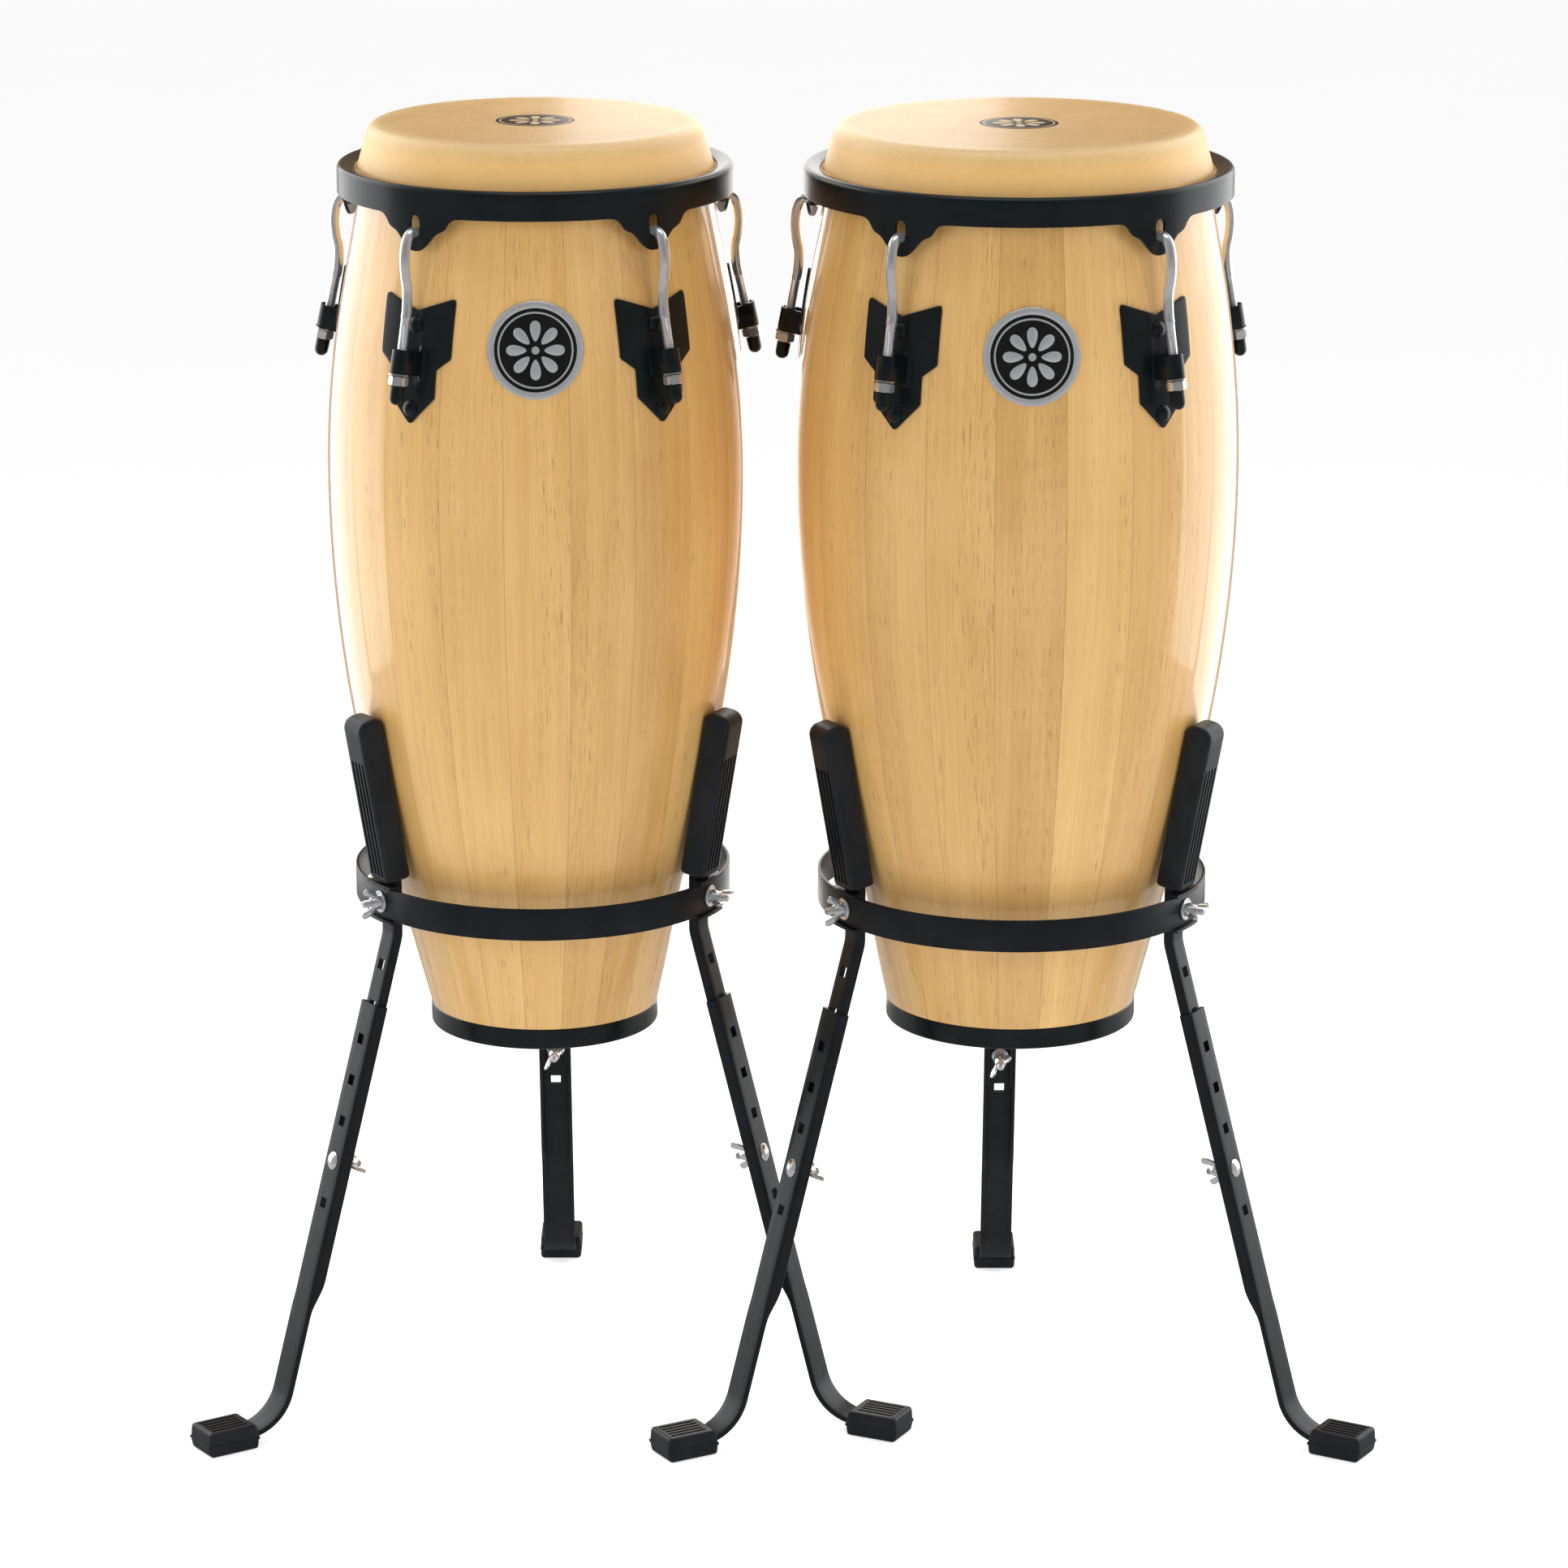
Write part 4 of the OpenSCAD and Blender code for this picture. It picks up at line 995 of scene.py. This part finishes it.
def build_nuts_and_caps(d):
    for k, m in enumerate(at_lugs(d), 1):
        Piece().add(hex_nut(13, 7, 9.7), m @ on_rod(d, 0)).make(
            d, f"hex_nut_{k}", [CHROME], f"tuner_{k}", f"tuning_nut_{k}", "chrome", 24)
    profile = [(4.05, 0), (5.0, 0), (5.3, -0.4), (5.3, -4), (5.2, -9)]
    profile += [(5.2 * math.cos(a), -9 - 5.0 * math.sin(a)) for a in np.radians((15, 30, 45, 60, 75, 88))]
    profile += [(0.02, -14.05), (0.02, -12), (4.05, -9)]
    Piece().repeat(lathe(profile[::-1], 40), [m @ on_rod(d, -3.8) for m in at_lugs(d)]).make(
        d, "rod_caps", [PLASTIC], "rim_set", "hook_caps", "black_plastic", 45)


LUG_HALF = [(0, 0), (20.5, 21), (20.5, 42), (32, 51), (32, 93.5), (29.5, 95), (0, 85)]
LUG_RADII = [3.0, 3.0, 2.5, 3.0, 3.5, 3.0, 1.0]


def build_lugs(d):
    """Plates pressed to the shell, with a rib and a rolled loop around the hook."""
    z0 = d.top - 208
    left = [(-x, z) for x, z in LUG_HALF[-2:0:-1]]
    outline = filleted(LUG_HALF + left, LUG_RADII + LUG_RADII[-2:0:-1], 5)
    rib_x, rib_low, rib_high = 8.5, 36.0, 57.0
    near = [(rib_x + dx, y) for dx in np.linspace(-4.2, 4.2, 13)
            for y in np.arange(rib_low - 4.5, rib_high + 5, 1.5)]
    plate, faces = flat_plate(outline, 2.0, 0.55, 4.5, near)

    def rib(x, y):
        from_line = math.hypot(x - rib_x, y - min(max(y, rib_low), rib_high))
        return 1.3 / (1 + math.exp((from_line - 2.1) * 4.5))

    plate = wrap(d, [(x, y, h + rib(x, y)) for x, y, h in plate], z0, 0.15)
    low, tall, wide = 5.3, 18.0, 14.5
    z_mid = d.top - NUT_DEPTH + low + tall / 2
    depth = d.along_rod(low + tall / 2)[0] - d.r(z_mid) - 1.2
    r_out, r_in = wide / 2, wide / 2 - 2
    open_at = depth - 3
    outer, inner = arc((0, 0), r_out, 180, 360, 15), arc((0, 0), r_in, 360, 180, 15)
    flare = 2.2
    loop = [(r_out + flare, depth + 0.8), (r_out + flare, depth - 0.9), (r_out + 0.7, depth - 1.6)]
    loop = [(-x, y) for x, y in loop] + outer + loop[::-1] + [(r_in, depth + 0.5), (r_in, open_at)]
    loop += inner + [(-r_in, open_at), (-r_in, depth + 0.5)]
    loop = np.array(loop)
    e = 0.5
    rings = [(e, 0.0), (e * 0.3, e * 0.3), (0, e), (0, tall - e), (e * 0.3, tall - e * 0.3), (e, tall)]
    v = [(*q, z) for inset, z in rings for q in loop - loop_normals(loop) * inset]
    f = quads(len(rings), len(loop)) + end_caps(len(rings), len(loop))
    piece = Piece()
    for m in at_lugs(d):
        piece.add((plate, faces), m).add((v, f), m @ on_rod(d, low))
    piece.make(d, "lugs", [POWDER], "drum", "lug_plates", "black_powder_coat", 42)


def dome(dia, h, skirt=0.5):
    """Outline of a round bolt head, from the axis to its rim and back under."""
    r = (dia * dia / 4 + h * h) / (2 * h)
    a1 = math.degrees(math.asin(dia / 2 / r))
    top = [(max(r * math.sin(math.radians(a)), 0.02), h - r + r * math.cos(math.radians(a)))
           for a in np.linspace(0, a1, 10)]
    return top + [(dia / 2, -0.0), (dia / 2 - 0.3, -skirt), (0.02, -skirt)]


def build_lug_bolts(d):
    piece = Piece()
    for lug in at_lugs(d):
        for z in (d.top - 196, d.top - 134):
            m = lug @ at_surface(d, z)
            piece.add(lathe(dome(12.5, 3.2, 0.6)[::-1], 40, True), m @ move(0, 0, 2.75))
            piece.add(threaded(-STAVE_T - 7, -1.0, 6, 1.0, 14), m, 1)
            piece.add(tube([(0, 0, -1.2), (0, 0, 2.6)], 3.0, 14), m, 1)
    piece.make(d, "carriage_bolts", [POWDER, ZINC], "drum", "lug_bolts", "black_powder_coat", 45)


# ---- basket stand


def build_ring(d):
    r, z = d.ring, RING_Z
    e = 0.9
    out, back, low, high = r - e, r - RING_T + e, z + e, z + RING_H - e
    profile = arc((out, low), e, -90, 0, 3) + arc((out, high), e, 0, 90, 3)
    profile += arc((back, high), e, 90, 180, 3) + arc((back, low), e, 180, 270, 3)
    Piece().add(lathe(profile, 200), at_stand(d)).make(
        d, "hoop", [STAND_COAT], "stand", "ring", "black_powder_coat", 60)


PAD_LOW, PAD_HIGH, PAD_T, PAD_W = 437.0, 568.0, 22.0, 28.0


def pad_frame(d):
    """A pad's lower inner corner, its axis, its outward direction, its length and its slope."""
    low_r = d.ring - 19.9
    slope = (d.r(552 - d.base) + 0.5 - low_r) / (552 - PAD_LOW)
    low = np.array([low_r, PAD_LOW])
    high = np.array([low_r + slope * (PAD_HIGH - PAD_LOW), PAD_HIGH])
    axis = (high - low) / np.linalg.norm(high - low)
    return low, axis, np.array([axis[1], -axis[0]]), float(np.linalg.norm(high - low)), slope


def hole_distance(path, i):
    """Distance down a leg's path to hole number i, counted up from the bolt."""
    z = LEG_BOLT_Z + i * HOLE_PITCH * math.cos(math.radians(LEG_TILT))
    return float(np.interp(-z, [-q[1] for q in path], distances(path)))


def square_holes(path, numbers):
    """The stretches of a leg's path where its 8 mm square holes are."""
    return [(hole_distance(path, i) - 4, hole_distance(path, i) + 4) for i in numbers]


def build_arms(d):
    low, *_, slope = pad_frame(d)
    face = d.ring - LEG_GAP
    top_r = low[0] + slope * (562 - PAD_LOW) + (PAD_T + 7.5) / 2
    path = filleted([(top_r, 562), (face, 433), (face, KNEE_Z), (leg_face(d, 188), 188)], [0, 14, 22, 0], 6)
    bolt = hole_distance(path, 0)
    holes = sorted([(bolt - 54, bolt + 4)] + square_holes(path, (3.8, 4.8)))
    rows = path_rows(path, [x for h in holes for x in h])
    Piece().repeat(channel(rows, 20.4, lambda s: (7.5, WEB_T), holes), at_legs(d)).make(
        d, "upper_legs", [STAND_COAT], "stand", "arms", "black_powder_coat", 34)


def build_legs(d):
    offset = 3.1 / math.cos(math.radians(LEG_TILT))
    face = lambda z: leg_face(d, z) + offset
    bend, strap = 36.0, 12.0
    z_c = strap + bend
    z_t = z_c - bend * math.sin(math.radians(LEG_TILT))
    centre = (face(z_t) + bend * math.cos(math.radians(LEG_TILT)), z_c)
    path = [(face(338), 338)] + arc(centre, bend, 180 + LEG_TILT, 270, 12) + [(FOOT_REACH - 8, strap)]
    lengths = distances(path)
    at_z = lambda z: float(np.interp(-z, [-q[1] for q in path[:2]], lengths[:2]))
    flare0, flare1 = at_z(126), at_z(98)

    def section(s):
        t = min(1.0, max(0.0, (s - flare0) / (flare1 - flare0)))
        t = t * t * (3 - 2 * t)
        return 10 - 6 * t, 2.6 + 1.3 * t

    holes = sorted(square_holes(path, (-1, 1, 2, 3)))
    extra = [x for h in holes for x in h] + list(np.linspace(flare0, flare1, 8))
    rows = path_rows(path, extra)
    for k, m in enumerate(at_legs(d), 1):
        Piece().add(channel(rows, 26.0, section, holes, 3.0), m).make(
            d, f"lower_leg_{k}", [STAND_COAT], f"leg_set_{k}", f"leg_{k}", "black_powder_coat", 34)
        Piece().add(rubber_foot(), m).make(
            d, f"rubber_foot_{k}", [RUBBER], f"leg_set_{k}", f"foot_{k}", "black_rubber", 34)


def groove_columns(width, round_, centres, half, wall=0.35):
    """Places across a rubber block: its rounded sides, and both walls of each groove."""
    xs = {0.0}
    for a in (0, 18, 36, 54, 72, 90):
        xs.add(round(width / 2 - round_ + round_ * math.sin(math.radians(a)), 4))
    for g in centres:
        xs |= {round(abs(g) + x, 4) for x in (-half - wall, -half, half, half + wall)}
    xs = {x for x in xs if x >= 0}
    return sorted({-x for x in xs} | xs)


def edge_inset(width, round_):
    """How far a rubber block's profile draws in towards its rounded sides."""
    def inset(x):
        over = max(0.0, abs(x) - (width / 2 - round_))
        return round_ - math.sqrt(max(round_ * round_ - over * over, 0.0))
    return inset


def rubber_foot():
    """A rubber foot in the stand's side view: grooved top, a parting line around its sides, a ridged nose."""
    w, length, h = 34.0, 44.0, 20.0
    r0, r1 = FOOT_REACH - length, FOOT_REACH
    corners = [(r0 + 1.2, 0), (r1 - 1.8, 0), (r1, h * 0.42), (r1 - 1.2, h), (r0 + 2.5, h), (r0, h * 0.45)]
    base = filleted(corners, [2.6, 3.0, 3.2, 2.8, 3.2, 3.0], 4)
    rows = []
    for a, b in zip(base, np.roll(base, -1, 0)):
        n = max(1, int(np.linalg.norm(b - a) / 3.0))
        rows += [a + (b - a) * t / n for t in range(n)]
    rows += [np.array([x, h]) for x in (r1 - 5.4, r1 - 6.0, r0 + 8.6, r0 + 8.0)]
    middle = np.array([(r0 + r1) / 2, h / 2])
    rows.sort(key=lambda q: math.atan2((q[1] - middle[1]) / h, (q[0] - middle[0]) / length))
    centres = (-10, -5, 0, 5, 10)
    xs = groove_columns(w, 3.0, centres, 0.95)

    def dent(x, q):
        grooved = q[1] > h - 0.4 and r0 + 8.3 <= q[0] <= r1 - 5.7
        return 2.2 if grooved and min(abs(x - g) for g in centres) <= 0.97 else 0.0

    seam = filleted([(r0 - 0.3, 8.7), (r1 + 0.3, 8.1), (r1 + 0.3, 8.9), (r0 - 0.3, 9.5)], [0.3] * 4, 2)
    edge_xs = [-w / 2 - 0.3, -w / 2 + 1.6, w / 2 - 1.6, w / 2 + 0.3]
    foot = Piece().add(slab(xs, rows, edge_inset(w, 3.0), dent))
    foot.add(slab(edge_xs, seam, lambda x: 0.0 if abs(x) < w / 2 else 1.3))
    return np.vstack(foot.v) * (1, -1, 1), [q[::-1] for q in foot.f]


def build_pads(d):
    low, axis, out, length, _ = pad_frame(d)
    corners = [(0.3, 0), (PAD_T - 0.2, 0), (PAD_T, length), (0, length)]
    base = filleted(corners, [3.8, 3.8, 9.0, 8.0], 8)
    stops = [6.0, 6.6, length - 34.6, length - 34.0]
    rows = list(resampled(base, 9.0))
    rows += [np.array([PAD_T - 0.1, s]) for s in stops]
    on_face = [q[0] > PAD_T - 0.35 and 3.5 < q[1] < length - 8.5 for q in rows]
    rest = [q for q, on in zip(rows, on_face) if not on]
    face = sorted((q for q, on in zip(rows, on_face) if on), key=lambda q: q[1])
    split = 1 + max(range(len(rest)), key=lambda i: rest[i][0] if rest[i][1] < 5 else -1)
    rows = rest[:split] + face + rest[split:]
    centres = (-7.5, -2.5, 2.5, 7.5)
    xs = groove_columns(PAD_W, 3.6, centres, 1.15)

    def dent(x, q):
        grooved = q[0] > PAD_T - 0.35 and 6.3 < q[1] < length - 34.3
        return 2.4 if grooved and min(abs(x - g) for g in centres) <= 1.17 else 0.0

    v, f = slab(xs, rows, edge_inset(PAD_W, 3.6), dent)
    r, z = (low[i] + v[:, 1] * out[i] + v[:, 2] * axis[i] for i in (0, 1))
    pad = np.stack([v[:, 0], -r, z], 1), [q[::-1] for q in f]
    Piece().repeat(pad, at_legs(d)).make(d, "arm_pads", [RUBBER], "stand", "pads", "black_rubber", 34)


def build_saddles(d):
    inner = d.ring - RING_T - 0.2
    t = 2.2
    low, high, outer = RING_Z - 0.2, RING_Z + RING_H + 0.2, d.ring + 3.4
    half = math.degrees(math.asin(17 / inner))
    profile = [(inner - t, low - t), (outer, low - t), (outer, low), (inner, low), (inner, high),
               (outer, high), (outer, high + t), (inner - t, high + t)]
    profile = filleted(profile, [2.0, 0.7, 0.7, 0.3, 0.3, 0.7, 0.7, 2.0], 3)
    Piece().repeat(lathe(profile, 12, arc_deg=2 * half), at_legs(d)).make(
        d, "ring_saddles", [STAND_COAT], "stand", "saddles", "black_powder_coat", 34)


def wing_nut():
    """A cast wing nut about Z, its face at z 0."""
    piece = Piece()
    profile = [(3.1, 0.2), (3.6, 0), (5.3, 0), (5.7, 0.5), (5.5, 2.2), (4.9, 4.2), (4.4, 7.4), (3.9, 8.2),
               (3.1, 8.0)]
    piece.add(lathe(profile, 32))
    for s in (-1, 1):
        path = smooth([(3.0, 2.4), (5.2, 4.0), (7.3, 6.4), (8.8, 9.2), (9.9, 12.0), (10.7, 14.3)], 5)
        n = len(path)
        t = np.gradient(path, axis=0)
        t /= np.linalg.norm(t, axis=1)[:, None]
        share = np.linspace(0, 1, n)
        wide = np.interp(share, (0, 0.25, 0.6, 0.85, 0.95, 1.0), (2.6, 2.5, 3.0, 2.9, 2.1, 0.4))
        thick = np.interp(share, (0, 0.3, 0.8, 0.95, 1.0), (1.9, 1.5, 1.25, 0.95, 0.3))
        v = []
        m = 14
        for i in range(n):
            across = np.array([t[i][1], -t[i][0]])
            for k in range(m):
                a = 2 * math.pi * k / m
                c, q = math.cos(a), math.sin(a)
                p = path[i] + across * wide[i] * math.copysign(abs(c) ** 0.8, c)
                v.append((p[0], thick[i] * math.copysign(abs(q) ** 0.8, q), p[1]))
        piece.add((v, quads(n, m) + end_caps(n, m)), turn("z", 0 if s > 0 else 180))
    return np.vstack(piece.v), piece.f


def washer(dia, bore, t):
    e = 0.25  # chamfer
    low = [(bore / 2, e), (bore / 2 + e, 0), (dia / 2 - e, 0), (dia / 2, e)]
    return lathe(low + [(r, t - z) for r, z in low[::-1]], 40)


WING_TURNS = (80, 15, 40)  # degrees, at the ring
LEG_WING_TURNS = (20, 70, 50)  # on the lower legs


def build_stand_bolts(d):
    piece = Piece()
    middle = RING_Z + RING_H / 2
    web = d.ring - LEG_GAP - WEB_T
    for leg, turned in zip(at_legs(d), WING_TURNS):
        m = leg @ move(0, 0, middle) @ turn("x", 90)
        piece.add(threaded(web - 1, d.ring + 16.5, 6, 1.0, 16), m)
        piece.add(lathe(dome(13, 3.4, 0.4)[::-1], 36, True), m @ move(0, 0, web - 0.1) @ turn("x", 180))
        piece.add(washer(17, 6.4, 1.6), m @ move(0, 0, d.ring + 0.1))
        piece.add(wing_nut(), m @ move(0, 0, d.ring + 1.8) @ turn("z", turned))
    piece.make(d, "ring_wing_bolts", [CHROME], "stand", "ring_bolts", "chrome", 40)
    for k, leg in enumerate(at_legs(d), 1):
        piece = Piece()
        m = leg @ on_leg(d, LEG_BOLT_Z)
        piece.add(lathe(dome(14, 2.6, 0.3)[::-1], 40, True), m @ move(0, 0, 3.5))
        piece.add(threaded(-22, 3.2, 6, 1.0, 16), m)
        under = -WEB_T - 0.3 - 1.4
        piece.add(washer(14, 6.4, 1.4), m @ move(0, 0, under))
        hub = lathe([(3.1, 0), (4.2, 0), (4.5, 0.3), (4.5, 4.9), (3.1, 4.9)], 32)
        flip = m @ move(0, 0, under - 0.1) @ turn("x", 180) @ turn("z", LEG_WING_TURNS[k - 1])
        piece.add(hub, flip)
        piece.add(wing_nut(), flip @ move(0, 0, 4.9))
        piece.make(d, f"leg_clamp_{k}", [CHROME], f"leg_set_{k}", f"leg_bolt_{k}", "chrome", 40)


for drum in DRUMS:
    for build in (build_shell, build_head, build_print, build_badge, build_base_ring, build_rim, build_hooks,
                  build_nuts_and_caps, build_lugs, build_lug_bolts, build_ring, build_arms, build_legs,
                  build_pads, build_saddles, build_stand_bolts):
        build(drum)
    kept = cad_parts[drum.name + "_lug_washers"]
    kept.data.materials.clear()
    kept.data.materials.append(ZINC)

# ---- floor, light and camera


def add_quad(name, nodes, corners):
    mesh = bpy.data.meshes.new(name)
    mesh.from_pydata(corners, [], [(0, 1, 2, 3)])
    mesh.materials.append(nodes.material)
    return add_object(mesh)


def build_floor():
    """A pale floor that glows a little, and is dimmer in the drums' reflections."""
    n = Nodes("studio_floor")
    p = n.place()
    mirrored = n.new("ShaderNodeLightPath").outputs["Is Glossy Ray"]
    pale = n.mix(n.noise(p, 3), (0.90, 0.90, 0.90), (0.92, 0.92, 0.92))
    n.set(Base_Color=n.mix(mirrored, pale, (0.30, 0.30, 0.30)), Roughness=0.9, Specular_IOR_Level=0.2,
          Emission_Strength=n.math("SUBTRACT", 0.55, n.math("MULTIPLY", mirrored, 0.45)),
          Emission_Color=(1.0, 1.0, 1.0))
    s = 40.0
    add_quad("floor", n, [(-s, -s, 0), (s, -s, 0), (s, s, 0), (-s, s, 0)])


def area(name, place, target, size, power, shiny=True):
    light = bpy.data.lights.new(name, "AREA")
    light.shape = "RECTANGLE"
    light.size, light.size_y = size
    light.energy = power
    o = add_object(light)
    o.location = place
    o.rotation_euler = (Vector(target) - Vector(place)).to_track_quat("-Z", "Y").to_euler()
    o.visible_camera = False
    o.visible_glossy = shiny


def build_flag():
    """A dark card behind the drums that only reflections see, so that their edges stay brown."""
    n = Nodes("dark_card")
    brown = n.mix(n.noise(n.place(), 2), (0.30, 0.22, 0.14), (0.26, 0.19, 0.12))
    n.set(Base_Color=brown, Roughness=1.0, Specular_IOR_Level=0.0)
    half, back, low, high = 0.62, 0.75, 0.01, 1.7
    o = add_quad("card", n, [(-half, back, low), (half, back, low), (half, back, high), (-half, back, high)])
    o.visible_camera = o.visible_diffuse = o.visible_shadow = o.visible_transmission = False


build_floor()
build_flag()
for name, sign in (("left", -1), ("right", 1)):
    area(name + "_strip", (sign * 1.14, 0.84, 1.0), (sign * 0.2, -0.05, 0.80), (0.95, 2.0), 12)
    area(name + "_side", (sign * 1.62, 0.22, 1.0), (sign * 0.2, -0.05, 0.80), (0.70, 2.0), 8)
    area("front_" + name, (sign * 3.0, -3.4, 2.0), (0, 0, 0.7), (2.6, 2.6), 50, False)
area("gap", (0.0, 0.30, 0.85), (0, -1, 0.85), (0.36, 1.3), 3.6)
area("overhead", (0.0, -0.5, 2.8), (0, 0, 0.8), (1.6, 0.8), 7)

world = bpy.data.worlds.new("studio")
world.use_nodes = True
sky = world.node_tree
background = sky.nodes["Background"]
# A soft light from behind that fades to the front, and a white backdrop for the camera
towards = sky.nodes.new("ShaderNodeSeparateXYZ")
sky.links.new(sky.nodes.new("ShaderNodeTexCoord").outputs["Generated"], towards.inputs[0])
dimmed = sky.nodes.new("ShaderNodeMapRange")
for socket, value in (("From Min", -1.0), ("From Max", 0.6), ("To Min", 0.12), ("To Max", 0.62)):
    dimmed.inputs[socket].default_value = value
sky.links.new(towards.outputs["Y"], dimmed.inputs["Value"])
seen = sky.nodes.new("ShaderNodeMath")
seen.operation = "MAXIMUM"
sky.links.new(dimmed.outputs["Result"], seen.inputs[0])
sky.links.new(sky.nodes.new("ShaderNodeLightPath").outputs["Is Camera Ray"], seen.inputs[1])
sky.links.new(seen.outputs["Value"], background.inputs["Strength"])
background.inputs["Color"].default_value = (1.0, 1.0, 1.0, 1.0)
bpy.context.scene.world = world
bpy.context.scene.view_settings.view_transform = "Standard"
bpy.context.scene.view_settings.look = "None"

camera = bpy.data.cameras.new("camera")
camera.lens = 136.4
camera.sensor_width = 36.0
camera.clip_end = 100.0
eye = add_object(camera)
eye.location = (0.001, -4.5416, 1.695)
eye.rotation_euler = (math.radians(90 - 15.05), 0, 0)
bpy.context.scene.camera = eye
